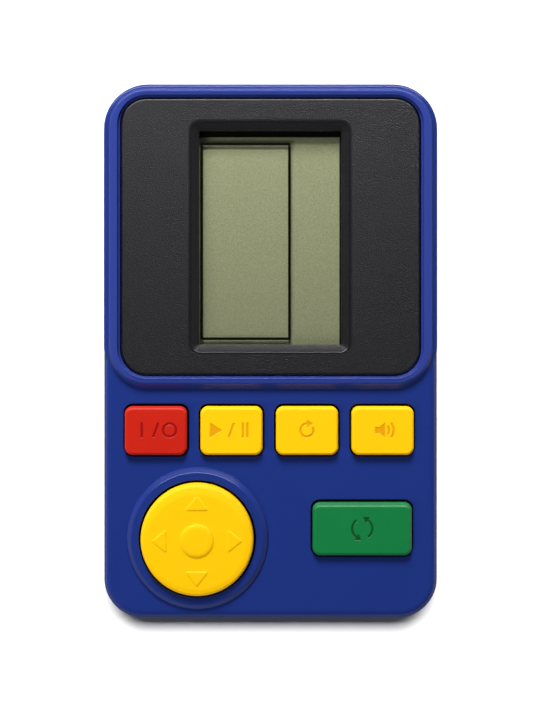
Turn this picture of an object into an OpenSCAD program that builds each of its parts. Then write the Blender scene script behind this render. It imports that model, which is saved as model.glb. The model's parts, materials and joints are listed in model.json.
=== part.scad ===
// Handheld brick game console, lying on its back, in millimetres.
// x runs to the right of the face, y to the screen end and z out of the face; z = 0 is the back.

/* [Body] */
// Width of the body
body_w = 75; // [68:0.5:84]
// Length of the body
body_l = 120; // [108:0.5:132]
// Corner radius at the screen end
top_corner_r = 10; // [8.5:0.1:11]
// Corner radius at the key end
bottom_corner_r = 8.7; // [7.5:0.1:10]
// Wall thickness of both shells
wall = 2; // [1.8:0.1:2.4]
// Height of the seam between the shells
seam_z = 11; // [9.5:0.5:12.5]
// Open seam left between the shells
seam_gap = 0.2; // [0.1:0.05:0.3]
// Height of the tongue on the back shell that enters the front shell
tongue_h = 1.2; // [0.8:0.1:1.6]
// Thickness of that tongue
tongue_t = 0.9; // [0.7:0.05:1.1]
// Side clearance of that tongue
tongue_gap = 0.1; // [0.05:0.05:0.2]
// Rounding of the front edge
front_edge_r = 1.9; // [1.2:0.1:2.2]
// Rounding of the back edge
back_edge_r = 3; // [2:0.1:3.5]

/* [Screen frame] */
// Length of the key field, which the raised screen frame leaves at the key end
field_l = 51.2; // [50:0.2:54]
// Height of the frame above the key field
rim_h = 1.6; // [1.2:0.1:2.2]
// Width of the frame's outer slope
rim_slope_w = 1.5; // [0.8:0.1:1.8]
// Height of the frame's outer slope
rim_slope_h = 1.4; // [0.8:0.1:1.6]
// Width of the frame at its sides
rim_side_w = 3.2; // [2.8:0.1:3.8]
// Width of the frame at its ends
rim_end_w = 2.7; // [2.4:0.1:3.2]
// Corner radius of the recess inside the frame
recess_r = 6.7; // [5.5:0.1:7.5]
// Thickness of the shelf under the bezel
shelf_t = 1.5; // [1.2:0.1:1.8]

/* [Bezel and display] */
// Open groove between the frame and the bezel
bezel_gap = 0.8; // [0.5:0.05:1]
// Depth of the bezel's face under the frame
bezel_drop = 0.5; // [0.3:0.1:0.8]
// Thickness of the bezel
bezel_t = 2.3; // [2:0.1:2.6]
// Rounding of the bezel's front edge
bezel_edge_r = 0.4; // [0.2:0.1:0.6]
// Thickness of the bezel's tape
tape_t = 0.15; // [0.1:0.05:0.3]
// Width of the tape strip left off along the bezel's border
tape_inset = 1; // [0.5:0.1:1.5]
// Width of the window at its lower edge
window_w = 32.1; // [30:0.1:34]
// Width of the bezel above and below the window
window_end = 5.1; // [4.5:0.1:6]
// Distance of the window below the middle of the bezel
window_drop = 0.25; // [0:0.05:0.5]
// Width of the sloping border of the window
window_bevel_w = 1.7; // [1.2:0.1:2]
// Height of the sloping border of the window
window_bevel_h = 1.5; // [1:0.1:1.8]
// Corner radius of the window at the face
window_r = 1.5; // [0.8:0.1:2]
// Corner radius of the window at its lower edge
window_inner_r = 0.3; // [0.2:0.1:0.6]
// Width of the display glass
glass_w = 38; // [36:0.5:40]
// Reach of the display past the window at the screen end
glass_hold = 1.4; // [1.2:0.1:1.6]
// Reach of both display plates past the window at the contact ledge
ledge_cover = 0.8; // [0.6:0.1:1.2]
// Length of the contact ledge, where the front glass reaches past the rear glass
ledge_l = 3.6; // [3:0.1:3.8]
// Thickness of one display glass
glass_t = 0.7; // [0.5:0.1:1.1]
// Thickness of the polarizer and of the reflector
film_t = 0.2; // [0.1:0.05:0.3]
// Width of the polarizer's and the reflector's margin on the glass
film_margin = 0.5; // [0.2:0.1:0.8]
// Clearance round the display and under the bezel
glass_gap = 0.1; // [0.05:0.05:0.2]
// Side clearance between the display and the shelf
glass_side_gap = 0.4; // [0.3:0.1:0.6]
// Thickness of the zebra strip
zebra_t = 2; // [1.6:0.1:2.4]
// Width of the display holder's rails
holder_w = 4; // [3:0.5:6]
// Clearance of the zebra strip in the holder
zebra_gap = 0.1; // [0.05:0.05:0.2]

/* [Keys] */
// Distance between two function keys
key_space = 3; // [2.7:0.1:3.4]
// Size of a function key along y
key_l = 11; // [10:0.1:12]
// Mean distance from the sides of the body to the outer function keys
key_side = 5.2; // [4.6:0.1:5.6]
// Distance of the row of function keys from the middle, to the left
row_shift = 0.3; // [0:0.1:0.5]
// Distance from the screen frame to the function keys
row_gap = 3.4; // [2.8:0.1:4]
// Width of the rotate key
rotate_w = 22.2; // [20:0.1:24]
// Size of the rotate key along y
rotate_l = 12; // [11:0.1:13]
// Distance from the side of the body to the middle of the rotate key
rotate_side = 17; // [16.5:0.1:18]
// Distance of the rotate key above the middle of the lower field
rotate_rise = 1.9; // [1:0.1:2.5]
// Corner radius of a key
key_r = 1.7; // [1.4:0.1:2.2]
// Rounding of a key's top edge
key_edge_r = 0.6; // [0.4:0.1:1]
// Height of a key above the key field
key_proud = 1.6; // [1.4:0.1:2.2]
// Clearance between a key and its hole
key_gap = 0.4; // [0.25:0.05:0.5]
// Travel of a key
key_travel = 1; // [0.8:0.05:1.2]
// Width of the flange that holds a key in
key_flange_w = 0.9; // [0.7:0.1:1.1]
// Thickness of the flange of a key and of the direction pad
flange_t = 0.8; // [0.7:0.1:1]
// Clearance between the flange and the shell
flange_gap = 0.1; // [0.05:0.05:0.2]
// Wall thickness of a hollow key
key_wall = 1.5; // [1.2:0.1:1.8]
// Thickness of a key's top
key_top_t = 1.6; // [1.3:0.1:2]
// Radius of the plunger inside a key
plunger_r = 2.2; // [1.8:0.1:2.4]
// Length of the plunger below the flange
plunger_drop = 0.5; // [0.4:0.1:0.8]
// Height of a key's pictogram
mark_h = 3.4; // [2.6:0.1:4]
// Height of the rotate key's pictogram
rotate_mark_h = 5; // [4:0.1:6]
// Stroke width of the pictograms
mark_stroke = 0.5; // [0.4:0.05:0.6]
// Depth of the pictograms
mark_depth = 0.3; // [0.2:0.05:0.4]
// Lean of the stroke inside a double pictogram, in degrees
mark_lean = 20; // [10:1:30]
// Half the opening of a sound wave's arc, in degrees
wave_angle = 40; // [30:1:50]
// Half the opening of a turning arrow's arc, in degrees
turn_angle = 55; // [45:1:60]
// Distance between the two halves of a double pictogram
mark_pitch = 3.1; // [2.8:0.1:3.4]

/* [Direction pad] */
// Diameter of the direction pad
pad_d = 25.4; // [23:0.1:26]
// Distance from the side of the body to the middle of the pad
pad_side = 21.1; // [20.4:0.1:22]
// Distance of the pad below the middle of the lower field
pad_drop = 0.4; // [0:0.1:0.8]
// Clearance between the pad and its hole
pad_gap = 0.4; // [0.35:0.05:0.6]
// Height of the raised ring round the pad
ring_h = 1.2; // [0.6:0.1:1.4]
// Width of the ring's flat top
ring_w = 1.5; // [1:0.1:2]
// Width of the ring's outer slope
ring_slope_w = 1.35; // [0.8:0.05:1.6]
// Height of the pad above the ring
pad_proud = 1.7; // [1:0.1:2]
// Rounding of the pad's top edge
pad_edge_r = 0.8; // [0.5:0.1:2]
// Width of the flange that holds the pad in, past its hole
pad_flange_w = 0.6; // [0.5:0.1:0.9]
// Tilt of the pad along one axis, in degrees
pad_tilt = 4; // [3:0.5:4.5]
// Clearance of the tilted pad
pad_clear = 0.15; // [0.1:0.05:0.2]
// Radius of the dome in the middle of the pad
dome_mark_r = 3.6; // [3:0.1:4]
// Height of that dome
dome_mark_h = 0.4; // [0.3:0.1:0.8]
// Distance from the middle of the pad to the base of an arrow
arrow_in = 6.6; // [6.4:0.1:7.2]
// Length of an arrow
arrow_l = 3.3; // [2.6:0.1:3.6]
// Width of an arrow
arrow_w = 4.9; // [4:0.1:5.4]
// Height of an arrow above the pad
arrow_h = 0.2; // [0.15:0.05:0.5]
// Depth of the tilting centre below the key field
pivot_drop = 1.5; // [1.2:0.1:1.6]
// Radius of the pivot ball
ball_r = 2; // [1.8:0.1:2.2]
// Radial clearance of the pivot ball
ball_gap = 0.06; // [0.04:0.01:0.1]
// Radius of the pivot post's stem
stem_r = 1.65; // [1.6:0.05:1.7]
// Distance of the pivot post's cup below the tilting centre
cup_drop = 1.5; // [1.4:0.05:1.6]
// Radius of the pivot post's foot
stem_foot_r = 3; // [2.5:0.1:3.2]
// Thickness of the pivot post's foot
stem_foot_t = 0.6; // [0.5:0.1:0.8]
// Clearance round the stem under the pad
stem_gap = 0.7; // [0.6:0.05:0.9]

/* [Silicone domes] */
// Height of a key's dome
dome_h = 2.8; // [2.6:0.1:3.2]
// Radius of a dome's foot
dome_foot_r = 4.2; // [3.9:0.1:4.3]
// Radius of a dome's top
dome_top_r = 2.4; // [2.2:0.1:2.6]
// Thickness of a dome's foot
dome_foot_t = 0.6; // [0.5:0.05:0.7]
// Thickness of a dome's thin skirt
dome_skirt_t = 0.5; // [0.4:0.05:0.6]
// Radius of a carbon pill
pill_r = 1.4; // [1.2:0.1:1.6]
// Thickness of a carbon pill
pill_t = 0.4; // [0.3:0.05:0.5]
// Clearance of a pressed pill over the board
pill_gap = 0.05; // [0.03:0.01:0.1]
// Distance from the middle of the direction pad to its pills
pad_pill_at = 8.3; // [8:0.1:8.5]
// Border of the direction pad's mat past its domes
mat_border = 0.8; // [0.6:0.1:1]
// Clearance round the pivot post's foot in the mat
mat_gap = 0.4; // [0.2:0.1:0.5]

/* [Circuit board] */
// Thickness of the board
board_t = 1.2; // [1:0.1:1.6]
// Gap between the battery bay and the board
board_gap = 0.3; // [0.2:0.1:0.6]
// Clearance from the board's border to the walls
board_side_gap = 1.8; // [1.4:0.1:2.4]
// Clearance between the board and the screw posts
board_post_gap = 0.4; // [0.3:0.1:0.6]
// Distance of the chip from the sounder's wires
chip_gap = 2; // [1.5:0.1:3]
// Distance of the capacitor and resistors to the right of the middle
parts_in = 12; // [10:0.5:16]
// Distance of the capacitor below the middle of the screen
parts_drop = 13.5; // [10:0.5:16]
// Distance between resistors
resistor_pitch = 3.2; // [2.6:0.1:4]
// Radius of the epoxy cap over the chip
chip_r = 6; // [4:0.5:7]
// Height of the epoxy cap
chip_h = 1.6; // [1.2:0.1:2]
// Radius of the capacitor
capacitor_r = 2.5; // [2:0.1:3]
// Height of the capacitor
capacitor_h = 7; // [5:0.5:8]
// Size of a resistor along x
resistor_l = 3.2; // [2:0.1:3.2]
// Size of a resistor along y
resistor_w = 1.6; // [1:0.1:1.6]
// Height of a resistor
resistor_h = 0.6; // [0.5:0.05:0.8]
// Distance of the sounder above the middle of the screen
sounder_rise = 10; // [6:0.5:12]
// Radius of the sounder's brass disc
sounder_r = 10; // [8:0.5:12]
// Thickness of the sounder's brass disc
sounder_t = 0.3; // [0.2:0.05:0.4]
// Radius of the sounder's ceramic
ceramic_r = 7; // [5:0.5:7.5]
// Thickness of the sounder's ceramic
ceramic_t = 0.2; // [0.1:0.05:0.3]
// Height of the rib under the sounder
sounder_rib_h = 1.2; // [0.8:0.1:2]
// Thickness of the rib under the sounder
sounder_rib_t = 1.2; // [0.8:0.1:1.6]
// Radius of a sound hole
sound_hole_r = 0.9; // [0.6:0.1:1.2]
// Radius of the ring of sound holes
sound_ring_r = 3.8; // [3:0.1:5]
// Radius of a wire
wire_r = 0.5; // [0.4:0.05:0.6]

/* [Battery bay] */
// Diameter of a cell
cell_d = 10.5; // [10.2:0.1:11]
// Length of a cell with its pole
cell_l = 44.5; // [43:0.5:45]
// Radius of a cell's pole
pole_r = 1.9; // [1.7:0.1:2.1]
// Length of a cell's pole
pole_l = 0.8; // [0.6:0.1:1]
// Clearance above and below the cells
cell_clear = 0.3; // [0.2:0.05:0.5]
// Clearance beside the cells
cell_gap = 0.4; // [0.3:0.05:0.6]
// Wall thickness of the bay
bay_wall = 1.2; // [1:0.1:1.4]
// Thickness of the bay's roof
bay_roof_t = 1.2; // [1:0.1:1.6]
// Thickness of a contact plate
contact_t = 0.4; // [0.3:0.05:0.5]
// Size of a contact plate
contact_w = 8; // [7:0.1:9]
// Height of the dimple that meets a pole
dimple_h = 0.8; // [0.6:0.1:1]
// Radius of that dimple
dimple_r = 1.5; // [1.2:0.1:1.8]
// Length of a fitted spring
spring_l = 3.4; // [3.2:0.1:4]
// Radius of a spring at its plate
spring_r = 3.2; // [2.8:0.1:3.6]
// Radius of a spring at its cell
spring_tip_r = 2.4; // [2:0.1:2.7]
// Radius of the spring wire
spring_wire_r = 0.25; // [0.2:0.01:0.28]
// Turns of a spring
spring_turns = 3; // [2:0.5:3]
// Gap between a spring and what it presses on
spring_gap = 0.05; // [0.03:0.01:0.1]
// Width of a contact's solder tail
tail_w = 2.4; // [2:0.1:3]
// Reach of a solder tail past the bay's wall
tail_l = 2; // [1.5:0.1:2.4]
// Height of a solder tail above the middle of its cell
tail_rise = 3; // [2:0.1:3.2]
// Clearance round a solder tail
tail_gap = 0.15; // [0.1:0.05:0.3]

/* [Battery door] */
// Clearance round the door
door_gap = 0.2; // [0.15:0.05:0.3]
// Cover of the door past the bay's walls
door_cover = 0.6; // [0.5:0.1:0.9]
// Reach of the door's sliding edges under the shell
door_rail_w = 1.3; // [1:0.1:1.5]
// Thickness of the door's outer layer
door_skin_t = 1; // [0.8:0.1:1.2]
// Height of the door's lip on the bottom end
door_lip_h = 6; // [5:0.5:7]
// Number of grip grooves
grip_count = 5; // [3:1:7]
// Distance between grip grooves
grip_pitch = 2; // [1.6:0.1:2.4]
// Width of a grip groove
grip_w = 1; // [0.6:0.1:1.2]
// Distance of the first grip groove from the door's inner edge
grip_from = 4; // [3:0.5:6]
// Length of a grip groove
grip_l = 16; // [10:1:24]
// Depth of a grip groove
grip_depth = 0.4; // [0.2:0.1:0.6]

/* [Screws] */
// Distance of the case screws from the sides of the body
post_in = 6.9; // [6.8:0.1:7.4]
// Radius of the front shell's screw posts
front_post_r = 3.2; // [2.8:0.1:3.2]
// Radius of the back shell's screw posts
back_post_r = 3.6; // [3.4:0.1:3.7]
// Height at which the screw posts meet
post_z = 9.5; // [8.5:0.1:10]
// Gap between the screw posts
post_gap = 0.1; // [0.05:0.05:0.2]
// Clearance between the lower screw posts and the flanges of the function keys
post_key_gap = 0.2; // [0.15:0.05:0.3]
// Radius of a case screw's thread
screw_r = 1.3; // [1.2:0.05:1.4]
// Radius of a case screw's head
screw_head_r = 2.4; // [2.2:0.1:2.5]
// Height of a case screw's head
screw_head_h = 1.7; // [1.4:0.1:2]
// Depth of the seat of a case screw's head
screw_seat_z = 5; // [4.5:0.1:5.5]
// Length of a case screw under its head
screw_l = 11; // [10:0.5:12]
// Clearance round a case screw
screw_gap = 0.3; // [0.2:0.05:0.4]
// Undersize of a screw's pilot hole on its radius
pilot_grip = 0.15; // [0.1:0.05:0.2]
// Depth of a pilot hole past the tip of its screw
pilot_spare = 0.6; // [0.4:0.1:1]
// Width of the cross slot in a screw's head
slot_w = 0.7; // [0.5:0.1:0.9]
// Rim left on a screw's head outside the cross slot
slot_rim = 0.7; // [0.5:0.1:0.9]
// Depth of the cross slot in a screw's head
slot_depth = 0.9; // [0.5:0.1:1]
// Radius of a board screw's thread
board_screw_r = 1; // [0.9:0.05:1.1]
// Radius of a board screw's head
board_head_r = 2; // [1.8:0.1:2.2]
// Height of a board screw's head
board_head_h = 1.2; // [1:0.1:1.4]
// Reach of a board screw above the board
board_screw_reach = 2; // [1.8:0.1:2.2]
// Radius of the board's posts
board_post_r = 2.4; // [2.2:0.1:2.6]
// Distance of the board's posts from the sides of the body
board_post_in = 8; // [7.6:0.1:9]
// Distance of the board's posts from the ends of the screen frame
board_post_end = 13.4; // [12.4:0.1:16]

/* [Hidden] */
$fn = 64;
arc_steps = 6;
turn_steps = 12;
cut = 1;
sink = 0.5;
thin = 0.01;
half_w = body_w / 2;
half_l = body_l / 2;

// Levels from the back to the face: cells, bay roof, board, domes, key flanges, wall
cell_z = wall + cell_clear + cell_d / 2;
bay_top_z = cell_z + cell_d / 2 + cell_clear;
board_z = bay_top_z + bay_roof_t + board_gap;
board_top_z = board_z + board_t;
dome_top_z = board_top_z + dome_h;
flange_z = dome_top_z + plunger_drop;
roof_z = flange_z + flange_t + flange_gap;
face_z = roof_z + wall;
rim_z = face_z + rim_h;
key_top_z = face_z + key_proud;
bezel_top_z = rim_z - bezel_drop;
bezel_z = bezel_top_z - bezel_t;
recess_z = bezel_z - tape_t;
shelf_z = recess_z - shelf_t;
polarizer_z = bezel_z - glass_gap - film_t;
front_glass_z = polarizer_z - glass_t;
rear_glass_z = front_glass_z - glass_t;
reflector_z = rear_glass_z - film_t;

// Places on the face
rim_l = body_l - field_l;
rim_y0 = half_l - rim_l;
screen_y = half_l - rim_l / 2;
recess_w = body_w - 2 * rim_side_w;
recess_l = rim_l - 2 * rim_end_w;
bezel_w = recess_w - 2 * bezel_gap;
bezel_l = recess_l - 2 * bezel_gap;
bezel_r = recess_r - bezel_gap;
window_l = bezel_l - 2 * (window_end + window_bevel_w);
window_y = screen_y - window_drop;
glass_l = window_l + glass_hold + ledge_cover + ledge_l;
glass_y0 = window_y - window_l / 2 - ledge_cover - ledge_l;
zebra_y = glass_y0 + ledge_l / 2;
key_w = (body_w - 2 * key_side - 3 * key_space) / 4;
key_pitch = key_w + key_space;
row_y = rim_y0 - row_gap - key_l / 2;
field_y = (row_y - key_l / 2 - half_l) / 2;
rotate_x = half_w - rotate_side;
rotate_y = field_y + rotate_rise;
pad_x = pad_side - half_w;
pad_y = field_y - pad_drop;
function key_x(i) = (i - 1.5) * key_pitch - row_shift;

// Direction pad: its flange hangs low enough under the wall for a tilt along both axes
pad_hole_r = pad_d / 2 + pad_gap;
pad_flange_r = pad_hole_r + pad_flange_w;
pad_flange_z = roof_z - pad_flange_r * sin(sqrt(2) * pad_tilt) - pad_clear - flange_t;
ring_z = face_z + ring_h;
pad_top_z = ring_z + pad_proud;
pivot_z = face_z - pivot_drop;
pad_pill_lift = (pad_pill_at + sqrt(2) * pill_r) * sin(pad_tilt) + pill_gap;
key_pill_lift = key_travel + pill_gap;
mat_r = pad_pill_at + dome_top_r + mat_border;

// Battery bay against the bottom end
bay_w = cell_l + 2 * contact_t + dimple_h + spring_l;
bay_l = 2 * cell_d + 3 * cell_gap;
bay_y0 = door_gap + bay_wall + wall - half_l;
bay_y1 = bay_y0 + bay_l;
upper_cell_y = bay_y1 - cell_gap - cell_d / 2;
lower_cell_y = bay_y0 + cell_gap + cell_d / 2;
plate_x = bay_w / 2 - contact_t;
cell_x = plate_x - dimple_h;
tail_z = cell_z + tail_rise;
door_y1 = bay_y1 + bay_wall + door_cover;
door_half_w = bay_w / 2 + bay_wall + door_cover;
rail_half_w = door_half_w + door_rail_w;

// Screw places
post_x = half_w - post_in;
upper_post_y = half_l - post_in;
lower_post_y = row_y - key_l / 2 - key_gap - key_flange_w - post_key_gap - front_post_r;
post_places = [for (sx = [-1, 1], y = [upper_post_y, lower_post_y]) [sx * post_x, y, 0]];
board_post_x = half_w - board_post_in;
board_post_places = [for (sx = [-1, 1], sy = [-1, 1])
    [sx * board_post_x, screen_y + sy * (rim_l / 2 - board_post_end), 0]];
sounder_y = screen_y + sounder_rise;
sounder_z = wall + sounder_rib_h;

blue = "#2a3d8c";
charcoal = "#38393d";
yellow = "#ffce00";
red = "#cd281c";
green = "#147a3a";
silicone = "#b9bcb4";
carbon = "#26272a";
steel = "#b4b6ba";

// Edge points [inset, z] of a rounding that ends on the top level z
function top_round(r, z) =
    [for (i = [0:arc_steps]) let (a = 90 * i / arc_steps) [r - r * cos(a), z - r + r * sin(a)]];

// Edge points of a rounding that starts on the level z
function bottom_round(r, z) =
    [for (i = [arc_steps:-1:0]) let (a = 90 * i / arc_steps) [r - r * cos(a), z + r - r * sin(a)]];

function unit(v) = v / norm(v);

// Block with a rounded outline: edge lists [inset, z] points of its border from the bottom up
module swept_block(w, l, r_top, r_bottom, edge) {
    z0 = edge[0][1];
    z1 = edge[len(edge) - 1][1];
    back = [for (i = [len(edge) - 1:-1:0]) edge[i]];
    for (sx = [-1, 1], end = [[1, r_top], [-1, r_bottom]])
        translate([sx * (w / 2 - end[1]), end[0] * (l / 2 - end[1]), 0])
            rotate_extrude()
                polygon(concat([[0, z0]], [for (p = edge) [end[1] - p[0], p[1]]], [[0, z1]]));
    translate([0, l / 2 - r_top, 0])
        rotate([90, 0, 0])
            linear_extrude(l - r_top - r_bottom)
                polygon(concat(
                    [for (p = edge) [w / 2 - p[0], p[1]]], [for (p = back) [p[0] - w / 2, p[1]]]
                ));
    for (end = [[0, r_top], [1, r_bottom]])
        mirror([0, end[0], 0])
            translate([end[1] - w / 2, 0, 0])
                rotate([90, 0, 90])
                    linear_extrude(w - 2 * end[1])
                        polygon(concat([[0, z0]], [for (p = edge) [l / 2 - p[0], p[1]]], [[0, z1]]));
}

// Straight block with a rounded outline between two levels
module round_block(w, l, r, z0, z1) {
    swept_block(w, l, r, r, [[0, z0], [0, z1]]);
}

// Inside of both shells at a given inset, between two levels
module inner_block(inset, z0, z1) {
    swept_block(
        body_w - 2 * inset, body_l - 2 * inset,
        top_corner_r - inset, bottom_corner_r - inset,
        [[0, z0], [0, z1]]
    );
}

module box(x0, x1, y0, y1, z0, z1) {
    translate([x0, y0, z0]) cube([x1 - x0, y1 - y0, z1 - z0]);
}

module rod(r, z0, z1) {
    translate([0, 0, z0]) cylinder(r = r, h = z1 - z0);
}

// Round wire along points; the vector ref is never along it
module tube(points, r, ref) {
    n = 8;
    last = len(points) - 1;
    rings = [for (i = [0:last])
        let (
            t = unit(points[min(i + 1, last)] - points[max(i - 1, 0)]),
            u = unit(cross(t, ref)),
            v = cross(u, t)
        )
        for (k = [0:n - 1]) points[i] + r * (cos(360 * k / n) * u + sin(360 * k / n) * v)];
    sides = [for (i = [0:last - 1], k = [0:n - 1])
        let (a = i * n + k, b = i * n + (k + 1) % n)
        each [[a, b, b + n], [a, b + n, a + n]]];
    ends = [for (k = [1:n - 2]) each [[0, k + 1, k], [last * n, last * n + k, last * n + k + 1]]];
    polyhedron(points = rings, faces = concat(sides, ends));
}

// Slack wire from a to b with a sideways bow
function wire_path(a, b, bow) =
    [for (i = [0:2 * arc_steps]) let (t = i / (2 * arc_steps)) a + t * (b - a) + sin(180 * t) * bow];

// Conical spring along x from its plate to its cell
function spring_path(x0, x1, y) =
    let (steps = turn_steps * spring_turns)
    [for (i = [0:steps])
        let (t = i / steps, a = 360 * i / turn_steps, r = spring_r + (spring_tip_r - spring_r) * t)
        [x0 + (x1 - x0) * t, y + r * cos(a), cell_z + r * sin(a)]];

module at_keys() {
    for (i = [0:3]) translate([key_x(i), row_y, 0]) children();
}

module front_shell() {
    color(blue)
    difference() {
        union() {
            difference() {
                union() {
                    swept_block(
                        body_w, body_l, top_corner_r, bottom_corner_r,
                        concat([[0, seam_z + seam_gap]], top_round(front_edge_r, face_z))
                    );
                    translate([0, screen_y, 0])
                        swept_block(body_w, rim_l, top_corner_r, top_corner_r, [
                            [0, roof_z - sink],
                            [0, rim_z - rim_slope_h],
                            [rim_slope_w, rim_z]
                        ]);
                    translate([pad_x, pad_y, 0])
                        rotate_extrude()
                            polygon([
                                [0, roof_z + sink],
                                [pad_hole_r + ring_w + ring_slope_w, roof_z + sink],
                                [pad_hole_r + ring_w + ring_slope_w, face_z],
                                [pad_hole_r + ring_w, ring_z],
                                [0, ring_z]
                            ]);
                }
                inner_block(wall, seam_z - cut, shelf_z);
                inner_block(wall - tongue_t - tongue_gap, seam_z - cut, seam_z + tongue_h + seam_gap);
                intersection() {
                    inner_block(wall, shelf_z - cut, roof_z);
                    box(-half_w, half_w, -half_l, rim_y0, shelf_z - cut, roof_z);
                }
            }
            for (p = post_places) translate(p) rod(front_post_r, post_z + post_gap, roof_z + sink);
            for (p = board_post_places) translate(p) rod(board_post_r, board_top_z, shelf_z + sink);
        }
        translate([0, screen_y, 0])
            round_block(recess_w, recess_l, recess_r, recess_z, rim_z + cut);
        box(
            -glass_w / 2 - glass_side_gap, glass_w / 2 + glass_side_gap,
            glass_y0 - glass_side_gap, glass_y0 + glass_l + glass_side_gap,
            shelf_z - cut, recess_z + cut
        );
        at_keys()
            round_block(
                key_w + 2 * key_gap, key_l + 2 * key_gap, key_r + key_gap, roof_z - cut, face_z + cut
            );
        translate([rotate_x, rotate_y, 0])
            round_block(
                rotate_w + 2 * key_gap, rotate_l + 2 * key_gap, key_r + key_gap, roof_z - cut, face_z + cut
            );
        translate([pad_x, pad_y, 0]) rod(pad_hole_r, roof_z - cut, ring_z + cut);
        for (p = post_places)
            translate(p) rod(screw_r - pilot_grip, post_z, screw_seat_z + screw_l + pilot_spare);
        for (p = board_post_places)
            translate(p)
                rod(board_screw_r - pilot_grip, board_top_z - cut, board_top_z + board_screw_reach + pilot_spare);
    }
}

// Outer form of the back, shared by the back shell and its door
module back_form() {
    swept_block(
        body_w, body_l, top_corner_r, bottom_corner_r,
        concat(bottom_round(back_edge_r, 0), [[0, seam_z]])
    );
}

module back_shell() {
    tail_x = bay_w / 2 + bay_wall;
    color(blue)
    difference() {
        union() {
            difference() {
                back_form();
                inner_block(wall, wall, seam_z + cut);
            }
            difference() {
                inner_block(wall - tongue_t, seam_z - cut, seam_z + tongue_h);
                inner_block(wall, seam_z - 2 * cut, seam_z + tongue_h + cut);
            }
            box(
                -bay_w / 2 - bay_wall, bay_w / 2 + bay_wall,
                bay_y0 - bay_wall, bay_y1 + bay_wall, wall - sink, bay_top_z + bay_roof_t
            );
            box(
                -bay_w / 2 - bay_wall, bay_w / 2 + bay_wall,
                wall - half_l - sink, bay_y0 - bay_wall + sink, wall - sink, seam_z
            );
            for (p = post_places) translate(p) rod(back_post_r, wall - sink, post_z);
            translate([0, sounder_y, 0])
                difference() {
                    rod(sounder_r, wall - sink, sounder_z);
                    rod(sounder_r - sounder_rib_t, wall - cut, sounder_z + cut);
                }
        }
        box(-bay_w / 2, bay_w / 2, bay_y0, bay_y1, -cut, bay_top_z);
        box(
            -door_half_w - door_gap, door_half_w + door_gap,
            -half_l - cut, door_y1 + door_gap, -cut, door_skin_t
        );
        box(
            -rail_half_w - door_gap, rail_half_w + door_gap,
            -half_l - cut, door_y1 + door_gap, door_skin_t - door_gap / 2, wall + door_gap
        );
        box(
            -rail_half_w - door_gap, rail_half_w + door_gap,
            -half_l - cut, wall - half_l + door_gap, door_skin_t, door_lip_h + door_gap
        );
        for (y = [upper_cell_y, lower_cell_y])
            box(
                -tail_x - cut, -bay_w / 2 + cut,
                y - tail_w / 2 - tail_gap, y + tail_w / 2 + tail_gap,
                tail_z - tail_gap, tail_z + contact_t + tail_gap
            );
        for (p = post_places) translate(p) {
            rod(screw_head_r + screw_gap, -cut, screw_seat_z);
            rod(screw_r + screw_gap, screw_seat_z - cut, post_z + cut);
        }
        translate([0, sounder_y, 0]) {
            rod(sound_hole_r, -cut, wall + cut);
            for (i = [0:5])
                rotate(60 * i) translate([sound_ring_r, 0, 0]) rod(sound_hole_r, -cut, wall + cut);
        }
    }
}

module battery_door() {
    color(blue)
    difference() {
        intersection() {
            back_form();
            union() {
                box(-door_half_w, door_half_w, -half_l, door_y1, 0, door_skin_t);
                box(-rail_half_w, rail_half_w, -half_l, door_y1, door_skin_t, wall);
                box(-rail_half_w, rail_half_w, -half_l, wall - half_l, wall, door_lip_h);
            }
        }
        for (i = [0:grip_count - 1])
            box(
                -grip_l / 2, grip_l / 2,
                door_y1 - grip_from - i * grip_pitch, door_y1 - grip_from - i * grip_pitch + grip_w,
                -cut, grip_depth
            );
    }
}

// Flat plate with a rounded outline, for the window's hull
module window_plate(w, l, r, z) {
    translate([0, 0, z])
        linear_extrude(thin)
            hull()
                for (sx = [-1, 1], sy = [-1, 1])
                    translate([sx * (w / 2 - r), sy * (l / 2 - r)]) circle(r, $fn = 32);
}

module screen_bezel() {
    color(charcoal)
    difference() {
        translate([0, screen_y, 0])
            swept_block(
                bezel_w, bezel_l, bezel_r, bezel_r,
                concat([[0, bezel_z]], top_round(bezel_edge_r, bezel_top_z))
            );
        translate([0, window_y, 0]) {
            hull() {
                window_plate(
                    window_w + 2 * window_bevel_w, window_l + 2 * window_bevel_w, window_r, bezel_top_z
                );
                window_plate(window_w, window_l, window_inner_r, bezel_top_z - window_bevel_h);
            }
            box(-window_w / 2, window_w / 2, -window_l / 2, window_l / 2, bezel_z - cut, bezel_top_z);
        }
    }
}

module bezel_tape() {
    margin = glass_side_gap + tape_inset;
    color(carbon)
    difference() {
        translate([0, screen_y, 0])
            round_block(
                bezel_w - 2 * tape_inset, bezel_l - 2 * tape_inset, bezel_r - tape_inset, recess_z, bezel_z
            );
        box(
            -glass_w / 2 - margin, glass_w / 2 + margin,
            glass_y0 - glass_side_gap, glass_y0 + glass_l + margin,
            recess_z - cut, bezel_z + cut
        );
    }
}

// Flat film over the part of the glass that both plates share
module display_film(z) {
    box(
        film_margin - glass_w / 2, glass_w / 2 - film_margin,
        glass_y0 + ledge_l + film_margin, glass_y0 + glass_l - film_margin, z, z + film_t
    );
}

module lcd_polarizer() {
    color("#8f9472") display_film(polarizer_z);
}

module lcd_front_glass() {
    color("#c9d0c4")
    box(-glass_w / 2, glass_w / 2, glass_y0, glass_y0 + glass_l, front_glass_z, polarizer_z);
}

module lcd_rear_glass() {
    color("#c9d0c4")
    box(
        -glass_w / 2, glass_w / 2, glass_y0 + ledge_l, glass_y0 + glass_l, rear_glass_z, front_glass_z
    );
}

module lcd_reflector() {
    color("#a3a78a") display_film(reflector_z);
}

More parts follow.
